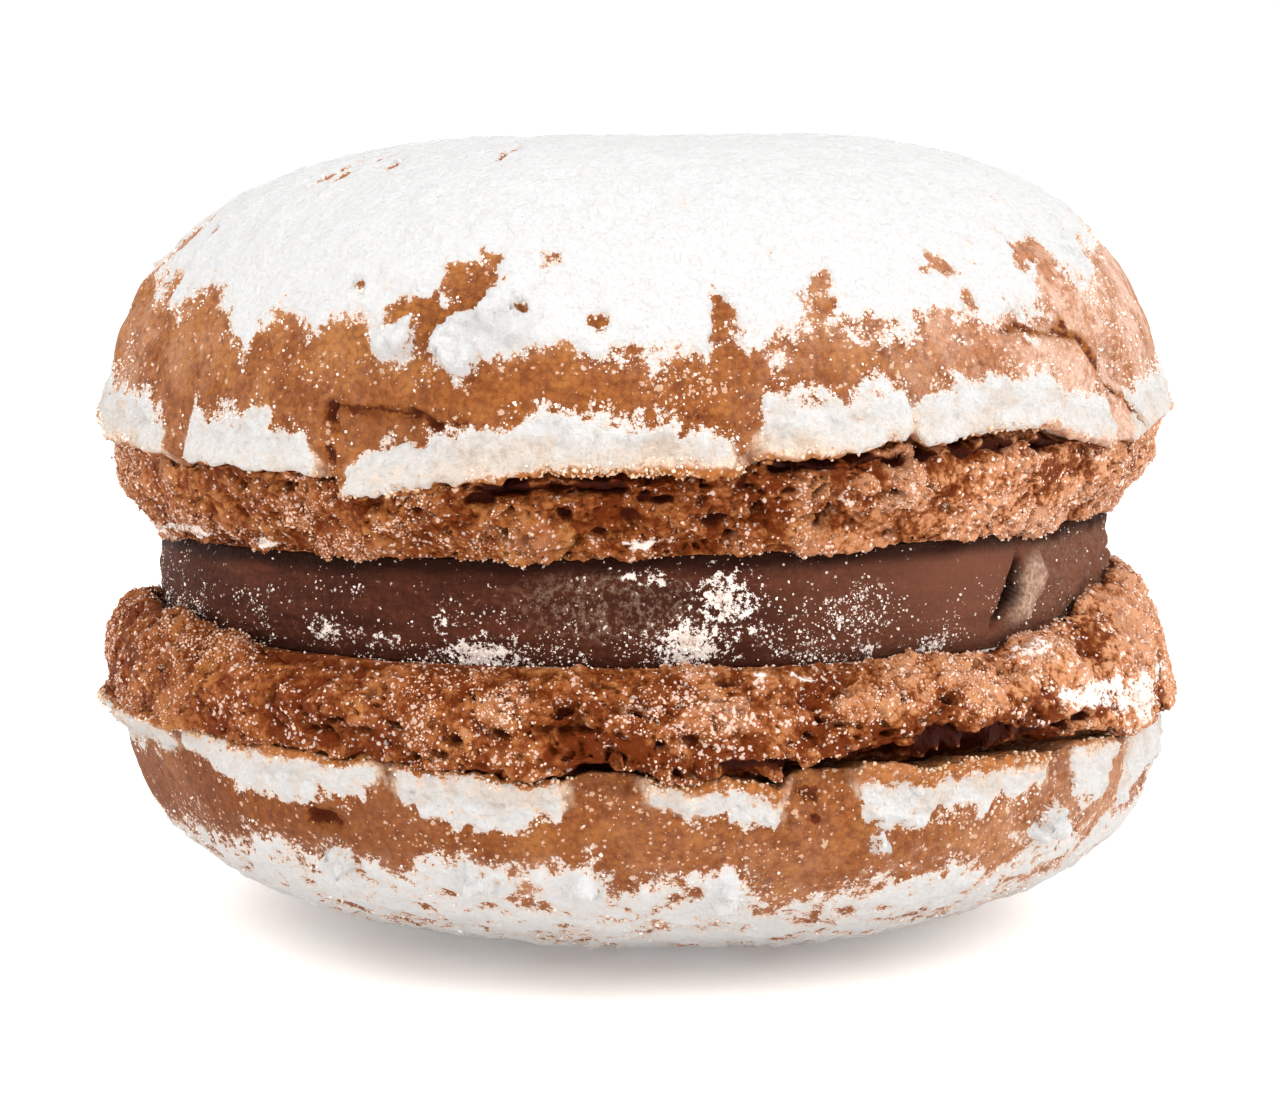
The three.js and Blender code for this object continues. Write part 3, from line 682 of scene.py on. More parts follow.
        (-180, 0.3), (-90, 0.8), (-60, 1), (-28, 0.8), (-12, 0.2), (5, 0), (20, 0.4), (40, 0.7), (80, 0.5),
        (130, 0.3),
    ],
    "sun": [(-180, 0.3), (-90, 0.2), (-30, 0.05), (0, 0), (14, 0.2), (26, 0.6), (45, 0.95), (100, 0.9)],
    "shade": [(-180, 0.1), (-80, 0.2), (-50, 0.25), (-15, 0.2), (5, 0.3), (20, 0.1), (30, 0)],
    "melt": [(-180, 0.6), (-90, 0.5), (-50, 0.35), (0, 0.45), (30, 0.8), (60, 0.9), (100, 0.8)],
    # sugar lying on the crumb: angle, height, width, height across, amount
    "drifts": [
        (-70, 0.4, 5, 1.2, 0.5), (-58, 0.5, 6, 0.7, 0.6), (-43, 0.3, 2.4, 0.6, 0.5), (1.5, 0.5, 3, 0.5, 0.2),
    ],
}

lowerBiscuit = {
    "face": lowerFace,
    "side": -1,
    "lean": 0.0,
    "tip": {"slide": 0.4, "lean": -0.01},
    "dome": {"radius": 22.45, "top": 13.62, "waist": 0.4, "shoulder": 1.82, "crown": 4.2},
    "lip": {"height": 3.8, "flare": 0.4, "reach": 1.1, "thick": 0.24},
    "crumb": {
        "rim": 20.9, "radius": 23.0, "widest": 2.4, "taper": 0.5, "lumps": 0.3, "hollow": 0.7,
        "holes": [
            (21.3, 3.05, 1.5, 0.9, 1.3), (25.5, 3.1, 2.6, 0.5, 1.2), (30.5, 2.9, 3.6, 1.5, 2.5),
            (35, 2.9, 3.8, 1.2, 2.4), (40, 2.85, 3, 0.8, 1.7), (45, 2.75, 2.4, 0.6, 1.4),
            (8.5, 3.45, 2.4, 0.9, 1.5), (13.2, 3.4, 1.8, 0.8, 1.4), (-33.1, 2.5, 1.3, 0.4, 0.7),
            (-17.7, 2.5, 0.9, 0.5, 0.7), (-1.3, 1.1, 0.7, 0.6, 0.5), (-6.9, 2.1, 0.6, 0.4, 0.5),
            (-19.2, 3.1, 0.9, 0.4, 0.6), (-4.8, 3.6, 2.2, 0.5, 1), (49.5, 2.5, 2, 0.6, 1),
            (17.3, 3.4, 1.4, 0.6, 1), (-13.1, 2.2, 1, 0.5, 0.7), (-8.4, 1.9, 0.8, 0.4, 0.6),
            (-27.3, 2.4, 1.2, 0.4, 0.6), (4.5, 2.3, 1, 0.5, 0.7), (19.5, 1.9, 1.2, 0.5, 0.7),
        ],
        "mounds": [
            (-12, 1.2, 4, 1.8, 0.25), (7, 1.6, 4, 1.8, 0.3), (22, 1.2, 3.5, 1.6, 0.3), (52, 1, 4, 1.6, 0.25),
        ],
    },
    "undercut": 0.25,
    "rims": [(-72, 34, 0.9), (50, 24, 0.3), (84, 37, 2.1), (150, 30, 0.6), (215, 34, 0.9)],
    "flaps": flapsFrom([
        (-106, -55, (3.6, 3.6, 3.3), (1.4, 1.4, 1.3), (0.3, 0.2, 0.3), (0.2, 0.2, 0.25),
         (0.3, 0.15, 0.3), 0.75),
        (-54, -26, (3.3, 3.6, 3.5), (1.5, 1.9, 1.6), (0.3, 0.4, 0.5), (0.25, 0.4, 0.35)),
        (-25, -7, (3.7, 3.8, 3.95), (1.6, 2, 1.6), (0.4, 0.4, 0.4), (0.35, 0.35, 0.25)),
        (0, 14, (3.9, 3.9, 4.3), (1, 1.7, 1.6), (0.1, 0.5, 0.9), (0.15, 0.55, 0.9)),
        (21, 44.5, (3.5, 3.6, 3.5), (2.3, 2, 1.6), (0.6, 0.7, 0.3), (0.9, 0.75, 0.35)),
        (47, 57, (3.4, 3.6, 3.8), (1.3, 2.6, 2.6), (0.1, 0.3, 0.2), (0.3, 0.25, 0.2)),
        (60, 88, (3.6, 3.5, 3.4), (2.8, 2.3, 1.7), (-0.2, 0, 0.2), (0, 0, 0.1), (0.3, 0.15, 0.3), -0.4),
        (92, 124, (3.6, 3.7, 4.1), (1.4, 1.9, 1.3), (0.2, 0.4, 0.6), (0.3, 0.4, 0.3)),
        (127, 149, (3.9, 3.8, 3.5), (1.3, 1.8, 1.4), (0.3, 0.1, 0.2), (0.2, 0.3, 0.4)),
        (155, 189, (3.8, 3.9, 3.4), (1.6, 1.9, 1.3), (0.1, 0.4, 0.4), (0.3, 0.5, 0.3)),
        (192, 224, (3.5, 3.9, 4), (1.4, 1.9, 1.7), (0.3, 0.3, 0.1), (0.3, 0.3, 0.2)),
        (227, 251, (3.8, 3.7, 3.4), (1.2, 1.7, 1.3), (0.2, 0.5, 0.3), (0.2, 0.4, 0.3)),
    ], (0.3, 0.15, 0.3)),
    "crevices": [(38, 25, 1.8), (13, 9, 1), (-5, 9, 0.6), (172, 24, 1), (250, 18, 0.6)],
    "dents": [(-33, 6.3, 1.8, 1.4, 0.4), (-62, 7.5, 8, 6, 0.3), (186, 8, 6, 4, 0.3)],
    "seed": 37,
    "coat": [
        (-180, 9.6), (-150, 10.2), (-120, 9.4), (-90, 8.8), (-60, 8.9), (-50, 8.4), (-40, 8.3), (-34, 7.9),
        (-28, 8.6), (-20, 8.2), (-14, 8.7), (-6, 8.3), (0, 8.9), (8, 8.8), (16, 9.2), (24, 8.9), (35, 8.6),
        (50, 7.8), (70, 7.6), (100, 8.8), (140, 9.6),
    ],
    "firm": [(-180, 0.6), (-90, 0.6), (0, 0.6), (90, 0.6)],
    "most": 0.34,
    "ragged": 0.95,
    "spots": [
        (-17, 7.9, 0.6, 1.4), (-33, 7.6, 0.5, 1.2), (-6, 8.2, 0.8, 0.9), (9, 8.4, 0.7, 0.9),
        (24, 6.4, 0.6, 1.4), (46, 6.4, 1, 1.2),
    ],
    "dust": [
        (-55, 6.8, 9, 3, 0.5), (-20, 6.6, 9, 2, 0.5), (10, 6.6, 9, 2.4, 0.5), (38, 6.2, 8, 4, 0.5),
        (60, 6.4, 8, 4, 0.7), (140, 7, 16, 4, 0.6), (-140, 7, 16, 4, 0.6),
    ],
    "cracks": [
        (0.3, 0.35, [(-34.8, 6.05), (-33.9, 6.15)]),
        (0.18, 0.3, [(-33.3, 6.2), (-32.6, 6.35)]),
        (0.2, 0.3, [(15.4, 4.4), (16.8, 4.65)]),
        (0.12, 0.2, [(16.8, 5.4), (17.4, 5.55)]),
        (0.2, 0.4, [(180, 5.2), (184, 6.2), (190, 6.6)]),
    ],
    "film": [(-180, 0.2), (-90, 0.05), (-60, 0.03), (-20, 0.04), (20, 0.1), (50, 0.2), (90, 0.4), (140, 0.25)],
    "haze": 0.3,
    "wrinkles": [(-90, 30, 0.12)],
    "gold": [(-180, 0.1), (-60, 0), (20, 0.1), (45, 0.7), (90, 0.5)],
    "brownedAndShaded": [(-180, 0.2), (-90, 0.75), (-50, 0.75), (-30, 0.55), (-10, 0.25), (10, 0.1), (40, 0)],
    "sun": [(-180, 0.3), (-90, 0.1), (-50, 0.05), (-10, 0.05), (14, 0.25), (32, 0.55), (50, 0.85), (100, 0.95)],
    "shade": [(-180, 0.3), (-90, 0.45), (-50, 0.5), (-20, 0.45), (10, 0.5), (30, 0.3), (50, 0.05), (100, 0)],
    "melt": [(-180, 0.6), (-90, 0.15), (-50, 0.1), (-20, 0.5), (10, 0.9), (40, 0.8), (100, 0.8)],
    "drifts": [
        (52, 1.7, 6, 1.4, 0.5), (62, 2.3, 4, 1.6, 0.9), (45, 0, 2.4, 0.5, 0.8), (70, 1.5, 4, 2, 0.4),
        (15, 0.2, 5, 0.4, 0.1),
    ],
}


# Slow waves round the biscuit: four sines of the angle.
def swayAt(angle, seed):
    turn = np.radians(angle)
    return (
        0.12 * np.sin(2 * turn + seed) + 0.1 * np.sin(3 * turn + 2 * seed)
        + 0.1 * np.sin(5 * turn + 3 * seed) + 0.07 * np.sin(9 * turn + 5 * seed)
    )


# The sum of soft bumps round the rim, each given as its middle, spread and height.
def aroundRim(bumps, angle):
    total = np.zeros_like(angle)
    for at, spread, height in bumps:
        total += height * (1 - smoothStep(0.35 * spread, spread, np.abs(turnBetween(angle, at))))
    return total


# The curve through three values, at the shares 0, a half and 1.
def throughThree(values, share):
    start, middle, end = values
    bend = 2 * (start + end - 2 * middle)
    return start + (end - start - bend) * share + bend * share * share


# The crust's edge at each angle: how much of a flap there is, its height and how far it stands out.
def flapsAt(biscuit, angle):
    lip = biscuit["lip"]
    strength, out = np.zeros_like(angle), np.full_like(angle, lip["flare"])
    height = np.full_like(angle, lip["height"])
    rim = pointsAt(angle, np.full_like(angle, biscuit["dome"]["radius"]), np.zeros_like(angle))
    height = height + mixedLumps(rim, biscuit["seed"] + 21, (0.16, 1.6), (0.1, 0.7), (0.06, 0.35))
    for flap in biscuit["flaps"]:
        span = flap["to"] - flap["from"]
        along = turnBetween(angle, flap["from"] + span / 2) + span / 2
        inside = smoothStep(-1.2, 1.2, along) * (1 - smoothStep(span - 1.2, span + 1.2, along))
        share = np.clip(along / span, 0, 1)
        height += inside * (throughThree(flap["heights"], share) - lip["height"])
        strength = np.maximum(strength, inside)
        out += inside * flap.get("out", 0.0)
    return strength, height, out * strength


# One of the flaps' own measures round the rim, given as three values along each flap. Between flaps it
# falls to a level, with rounded corners.
def flapMeasure(biscuit, angle, key, level):
    measure = np.full_like(angle, level)
    for flap in biscuit["flaps"]:
        span = flap["to"] - flap["from"]
        along = turnBetween(angle, flap["from"] + span / 2) + span / 2
        inside = smoothStep(-1.1, 1.3, along) * (1 - smoothStep(span - 1.3, span + 1.1, along))
        reach = throughThree(flap[key], np.clip(along / span, 0, 1))
        measure = np.maximum(measure, (reach - level) * inside**0.4 + level)
    return measure


# How deep the dome's soft dents are at a place.
def dentsAt(biscuit, angle, height):
    depth = np.zeros_like(height)
    for at, level, wide, tall, deep in biscuit["dents"]:
        away = awayFrom(angle, height, biscuit["dome"]["radius"], at, level, wide, tall)
        depth = np.maximum(depth, deep * (1 - smoothStep(0.3, 1.1, away)))
    return depth


# Distance in millimetres, on the unrolled side, from each place to a line of (angle, height) points.
def distanceToLine(line, angle, height, radius):
    best = np.full(height.shape, 99.0)
    x = np.radians(turnBetween(angle, line[0][0])) * radius
    for (a0, h0), (a1, h1) in zip(line[:-1], line[1:]):
        x0, x1 = (math.radians(a - line[0][0]) * radius for a in (a0, a1))
        wide, tall = x1 - x0, h1 - h0
        along = np.clip(((x - x0) * wide + (height - h0) * tall) / (wide**2 + tall**2), 0, 1)
        best = np.minimum(best, np.hypot(x - x0 - along * wide, height - h0 - along * tall))
    return best


# From a biscuit's own radius and height to the cookie: turned over for the lower one, slid and leaned.
def stand(biscuit, angle, radius, height):
    points = pointsAt(angle, radius, biscuit["face"] + biscuit["side"] * height)
    share = smoothStep(0, biscuit["lip"]["height"], height)
    lean = biscuit["lean"] + (biscuit["tip"]["lean"] - biscuit["lean"]) * share
    points[..., 2] += lean * points[..., 0]
    points[..., 0] += biscuit["tip"]["slide"] * share
    return points


# The crust as one closed shell. Its rows run from the dome's top down its side (a rounded cap), round
# the flap's edge (part of a circle), in under it, and across inside to the middle.
def crustSurface(biscuit, columns, rows):
    dome, lip, seed = biscuit["dome"], biscuit["lip"], biscuit["seed"]
    angle = columnAngles(columns)[:, None]
    strength, lipHeight, out = flapsAt(biscuit, angle)
    sway = swayAt(angle, seed)
    thick = lip["thick"] * (0.6 + 0.4 * strength)

    rise = dome["top"] - dome["waist"]
    turns = np.linspace(0, math.pi / 2, 4000)
    domeRadius = dome["radius"] * np.sin(turns) ** (2 / dome["shoulder"])
    domeHeight = dome["waist"] + rise * np.cos(turns) ** (2 / dome["crown"])
    length = np.concatenate([[0], np.cumsum(np.hypot(np.diff(domeRadius), np.diff(domeHeight)))])
    end = lipHeight + thick
    below = length[-1] + dome["waist"] - end
    total = np.where(end < dome["waist"], below, np.interp(-end, -domeHeight, length))
    along = total * (np.arange(1, rows["side"] + 1) / rows["side"])[None, :] ** 0.6
    turn = np.interp(along, length, turns)
    radius = dome["radius"] * np.sin(turn) ** (2 / dome["shoulder"])
    height = dome["waist"] + rise * np.cos(turn) ** (2 / dome["crown"])
    height = height - np.maximum(along - length[-1], 0)

    flare = out * (1 - smoothStep(0, lip["reach"], height - lipHeight))
    place = pointsAt(angle, radius, height)
    broad = 0.22 * lumps(place, 6.5, seed) + 0.08 * lumps(place, 2.6, seed)
    dent = dentsAt(biscuit, angle, height)
    edge = (radius / dome["radius"]) ** 2
    inward = betweenFlaps * (1 - strength) * (1 - smoothStep(0, 1.0, height - lipHeight))
    radius = radius + edge * (sway + flare + 0.8 * broad - dent) - inward
    height = height + (1 - edge) * (broad + 0.3 * sway - dent)

    bottom = np.linspace(0, math.radians(105), rows["rim"] + 1)[None, 1:]
    lastRadius, lastHeight = radius[:, -1:], height[:, -1:]
    rimRadius = lastRadius - thick + thick * np.cos(bottom)
    rimHeight = lastHeight - thick * np.sin(bottom)
    inRadius = rimRadius[:, -1:] - np.linspace(0, 3.4, rows["under"] + 1)[None, 1:]
    inHeight = rimHeight[:, -1:] + np.linspace(0, 0.45, rows["under"] + 1)[None, 1:]
    closeRadius, closeHeight = np.array([[14.0, 7.0]]), np.full((1, 2), crustClose)
    radius = joinRows(columns, [radius, rimRadius, inRadius, closeRadius])
    height = joinRows(columns, [height, rimHeight, inHeight, closeHeight])
    return angle, radius, height, strength, lipHeight


# How much sugar lies on the crust, over 0 where it covers: the height above the coat's lower edge, or
# the reach of a flap's band, made ragged by lumps of several sizes. Also how far it stands up in clumps.
def sugarOnCrust(biscuit, angle, height, place, lipHeight):
    seed = biscuit["seed"]
    ragged = mixedLumps(place, seed + 41, (0.5, 1.3), (0.45, 0.65), (0.3, 0.33))
    coatEdge = aroundCurve(biscuit["coat"], angle)
    firm = aroundCurve(biscuit["firm"], angle)
    coat = np.clip((height - coatEdge) * firm + 0.3, -3, biscuit["most"]) + biscuit["ragged"] * ragged
    clumps = np.zeros_like(height)
    lacy = 1 + 0.6 * lumps(place, 0.5, seed + 49) + 0.4 * lumps(place, 0.28, seed + 50)
    frayed = mixedLumps(place, seed + 47, (0.35, 1.1), (0.25, 0.4))
    for at, level, size, amount in biscuit["spots"]:
        across = np.radians(turnBetween(angle, at)) * biscuit["dome"]["radius"] * 0.95
        away = np.hypot(across, height - level) / size
        share = np.exp(-np.maximum(away * (0.85 if amount < 0 else 1) + 0.4 * ragged + frayed, 0) ** 2)
        coat = coat + (0.85 if amount < 0 else 1) * amount * share * lacy
        clumps = np.maximum(clumps, 0.5 * smoothStep(0.3, 0.7, amount * share))
    wandering = angle + 1.5 * lumps(place, 1.5, seed + 45) + 1.2 * lumps(place, 0.5, seed + 46)
    above = height - lipHeight
    top = (flapMeasure(biscuit, wandering, "band", -1.5) + 0.9 * ragged - above) * 1.3
    bottom = (above - flapMeasure(biscuit, angle, "bare", -0.5) + frayed) * 2.0 + 0.1
    return coat, np.minimum(np.minimum(top, bottom), 0.6), top, clumps


# A biscuit's crust with all that shows on it: along the normals it adds the sugar's thickness, its clods
# and clumps, a crumbly lip and low lumps, and takes away the cracks. Its material reads the attributes.
# Gives what the grains on it need.
def dressCrust(name, biscuit, node, material):
    rows, domeRadius = crustGrid, biscuit["dome"]["radius"]
    angle, radius, height, strength, lipHeight = crustSurface(biscuit, rows["columns"], rows)
    count = radius.shape[1]
    place = pointsAt(angle, radius, height)
    row = np.arange(count)[None, :]
    outer = row < rows["side"]
    rim = np.clip((row - rows["side"] + 1) / rows["rim"], 0, 1)
    under = np.clip((row - rows["side"] - rows["rim"]) / 3.0, 0, 1)

    puckers = aroundRim(biscuit["wrinkles"], angle) * smoothStep(5.0, 7.0, height)
    puckers = puckers * smoothStep(13.0, 10.5, height) * lumps(place * np.array([1.0, 1.0, 0.3]), 1.0, 90)
    coat, onFlap, flapTop, clumps = sugarOnCrust(biscuit, angle, height, place, lipHeight)
    coat = coat + 1.8 * puckers  # more sugar lies on the ridges
    onFlap = onFlap - 3.0 * (1 - strength) - 2.5 * smoothStep(0.45, 1.0, rim)
    powder = np.where(rim < 1.0, np.maximum(coat, onFlap), -1.0)
    uneven = smoothStep(-0.6, 0.6, layeredLumps(place, 3.0, 71))
    film = aroundCurve(biscuit["film"], angle) * (0.6 + 0.8 * uneven)
    film = film + biscuit["haze"] * smoothStep(-0.7, 0.3, coat)
    dust = np.zeros_like(height)
    for at, level, wide, tall, amount in biscuit["dust"]:
        away = awayFrom(angle, height, domeRadius, at, level, wide, tall) + 0.25 * lumps(place, 1.2, 72)
        dust = np.maximum(dust, amount * (1 - smoothStep(0.2, 1.0, away)))
    above = height - lipHeight
    dust = np.maximum(dust, 0.4 * (1 - strength) * smoothStep(2.6, 1.4, above))

    crack = np.full_like(height, -1.0)
    cut = np.zeros_like(height)
    fray = 0.14 * lumps(place, 0.8, 81) + 0.2 * lumps(place, 0.42, 82) + 0.12 * lumps(place, 0.24, 80)
    for wide, deep, line in biscuit["cracks"]:
        inside = wide + fray * (0.3 + 1.6 * wide) - distanceToLine(line, angle, height, domeRadius)
        crack = np.maximum(crack, np.clip(2.0 * inside, -1, 1))
        cut = np.maximum(cut, deep * smoothStep(-0.08, 0.25, inside))
    powder = powder - 2.0 * smoothStep(-0.1, 0.3, crack)
    film = film * smoothStep(0.1, -0.5, crack)
    lipAbove = 1.2 + 0.3 * lumps(place, 1.1, 83)
    pale = strength * smoothStep(lipAbove + 0.25, lipAbove - 0.25, above)
    pale = np.minimum(pale, smoothStep(-0.3, 0.2, flapTop)) * (1 - smoothStep(0.4, 1.0, rim)) * (1 - under)
    strip = flapMeasure(biscuit, angle, "toast", -0.3) + 0.14 * lumps(place, 0.6, 84)
    golden = strength * smoothStep(strip + 0.08, strip - 0.14, above)
    toast = np.maximum(strength * smoothStep(0.35, 0.7, rim + 0.12 * lumps(place, 0.5, 85)), golden)
    # painted shade: darker in the dents, under the flap's edge and at the angles the crust's shade curve gives
    paintedShade = np.maximum(0.45 * smoothStep(0.1, 0.5, dentsAt(biscuit, angle, height)) * outer, 0.5 * under)
    # painted shade round the side, darkest on the lower biscuit's left
    brownedAndShaded = aroundCurve(biscuit["brownedAndShaded"], angle) * (0.8 + 0.6 * lumps(place, 2.4, 87))
    paintedShade = np.clip(np.maximum(paintedShade, brownedAndShaded * outer), 0, 1)
    # warmer brown up the side, which on the upper left also paints brighter light
    gold = aroundCurve(biscuit["gold"], angle) * smoothStep(4.0, 8.5, height)

    grid = stand(biscuit, angle, radius, height)
    normal = gridNormals(grid, biscuit["side"])
    onBand = np.clip(strength * smoothStep(-0.2, 0.5, flapTop), 0, 1)
    near = smoothStep(1.9, 0.2, above + 0.5 * lumps(place, 1.3, 88))
    cream = flapMeasure(biscuit, angle, "cream", 0.2)
    veil = onBand * (cream * near + 0.4 * smoothStep(-0.1, 0.7, layeredLumps(place, 1.1, 89)))
    clod, _, _ = nearestCell(place + 0.12 * lumps(place, 0.5, 50)[..., None], 0.5, biscuit["seed"] + 58)
    lying = smoothStep(-0.05, 0.5, powder)
    powdery = 0.15 + 0.09 * lumps(place, 0.9, 51) + 0.04 * lumps(place, 0.45, 52)
    thickness = lying * (powdery + np.clip(clumps, 0, 0.65))
    smooth = 1 - 0.7 * onBand * smoothStep(0.9, 0.3, above)
    bigClod, _, _ = nearestCell(place, 0.95, biscuit["seed"] + 60)
    thickness += lying * smooth * (0.08 + 0.26 * np.maximum(onBand, 2 * clumps)) * (0.5 - clod)
    thickness += lying * np.clip(2.4 * clumps, 0, 0.9) * (0.5 - bigClod)
    thickness *= 1 - 0.7 * onBand * smoothStep(0.9, 0.1, above)  # thin along the lip
    crumbling = np.maximum(golden, 0.5 * strength * smoothStep(0.3, 0.0, above))
    thickness += 0.3 * crumbling * (0.5 - clod) * (1 - under)
    relief = puckers + 0.05 * lumps(place, 1.0, 54) + 0.025 * lumps(place, 0.45, 55)
    inner = np.where(row < count - 4, 1.0, 0.0)
    grid = grid + normal * ((thickness + relief - cut) * inner)[..., None]
    grid[..., 2] = np.maximum(grid[..., 2], 0.0)

    first = [0.0, 0.0, grid[:, 0, 2].mean()]
    last = stand(biscuit, np.array(0.0), np.array(0.0), np.array(crustClose))
    attributes = {
        "powder": np.clip(powder, -1, 1.2), "film": film, "paintedShade": paintedShade, "crack": crack, "pale": pale,
        "toast": toast, "dust": dust, "veil": np.clip(veil, 0, 1), "gold": gold,
    }
    attributes = {key: np.broadcast_to(value, height.shape) for key, value in attributes.items()}
    closedPiece(name, grid, first, last, biscuit["side"], attributes, material, node)
    edge = strength * smoothStep(0.45, 0.1, np.abs(above)) * (rim < 0.9)
    return grid, normal, powder, dust, outer, edge


# The crumb as one closed piece, from a pole hidden in the crust, out along the recess under the flaps,
# over the rounded shoulder, in to the rim at the filling and across the flat face.
def crumbSurface(biscuit, columns, rows):
    dome, crumb, seed = biscuit["dome"], biscuit["crumb"], biscuit["seed"]
    angle = columnAngles(columns)[:, None]
    strength, lipHeight, out = flapsAt(biscuit, angle)
    sway = swayAt(angle, seed)
    rim = pointsAt(angle, np.full_like(angle, crumb["radius"]), np.zeros_like(angle))
    crevice = aroundRim(biscuit["crevices"], angle) * (0.75 + 0.5 * layeredLumps(rim, 2.6, seed + 31, 2))
    rise = aroundRim(biscuit["rims"], angle)
    lipRadius = dome["radius"] + sway + out - betweenFlaps * (1 - strength)
    recess = 0.25 * biscuit["undercut"] * strength + crevice
    gap = 0.4 * crevice
    crumbTop = lipHeight - 0.2 - gap + 0.16 * layeredLumps(rim, 1.6, seed + 32, 2)
    widest = np.minimum(crumb["widest"], crumbTop - 0.1)

    backRadius, backHeight = lipRadius - 0.25 - recess, lipHeight - 0.05 - gap / 2
    hidden = np.linspace(0, 1, rows["hidden"] + 1)[None, :-1]
    hiddenRadius = backRadius - 2.0 + 2.0 * hidden
    hiddenHeight = backHeight + 0.9 * (1 - hidden)
    turn = np.linspace(0, math.pi / 2, rows["ledge"] + 1)[None, :-1]
    fullRadius = crumb["radius"] + sway
    ledgeRadius = backRadius + (fullRadius - backRadius) * np.sin(turn)
    ledgeHeight = backHeight + (crumbTop - backHeight) * (1 - np.cos(turn))
    share = np.linspace(1, 0, rows["side"])[None, :]
    outward = np.sin(math.pi / 2 * share) ** crumb["taper"]
    sideHeight = (widest + rise) * share - rise + (crumbTop - widest) * smoothStep(0.75, 1.0, share)
    sideRadius = crumb["rim"] + (crumb["radius"] - crumb["rim"]) * outward + sway * outward
    inside = np.linspace(0, 1, rows["rim"] + 1)[None, 1:]
    rimRadius = crumb["rim"] - 0.3 * inside
    rimHeight = -rise * (1 - inside)
    topRadius, topHeight = np.array([[6.0, 14.0]]), np.full((1, 2), crumbClose)
    faceRadius, faceHeight = np.array([[14.0, 6.0]]), np.zeros((1, 2))
    radius = joinRows(columns, [topRadius, hiddenRadius, ledgeRadius, sideRadius, rimRadius, faceRadius])
    height = joinRows(columns, [topHeight, hiddenHeight, ledgeHeight, sideHeight, rimHeight, faceHeight])
    return angle, radius, height, crevice


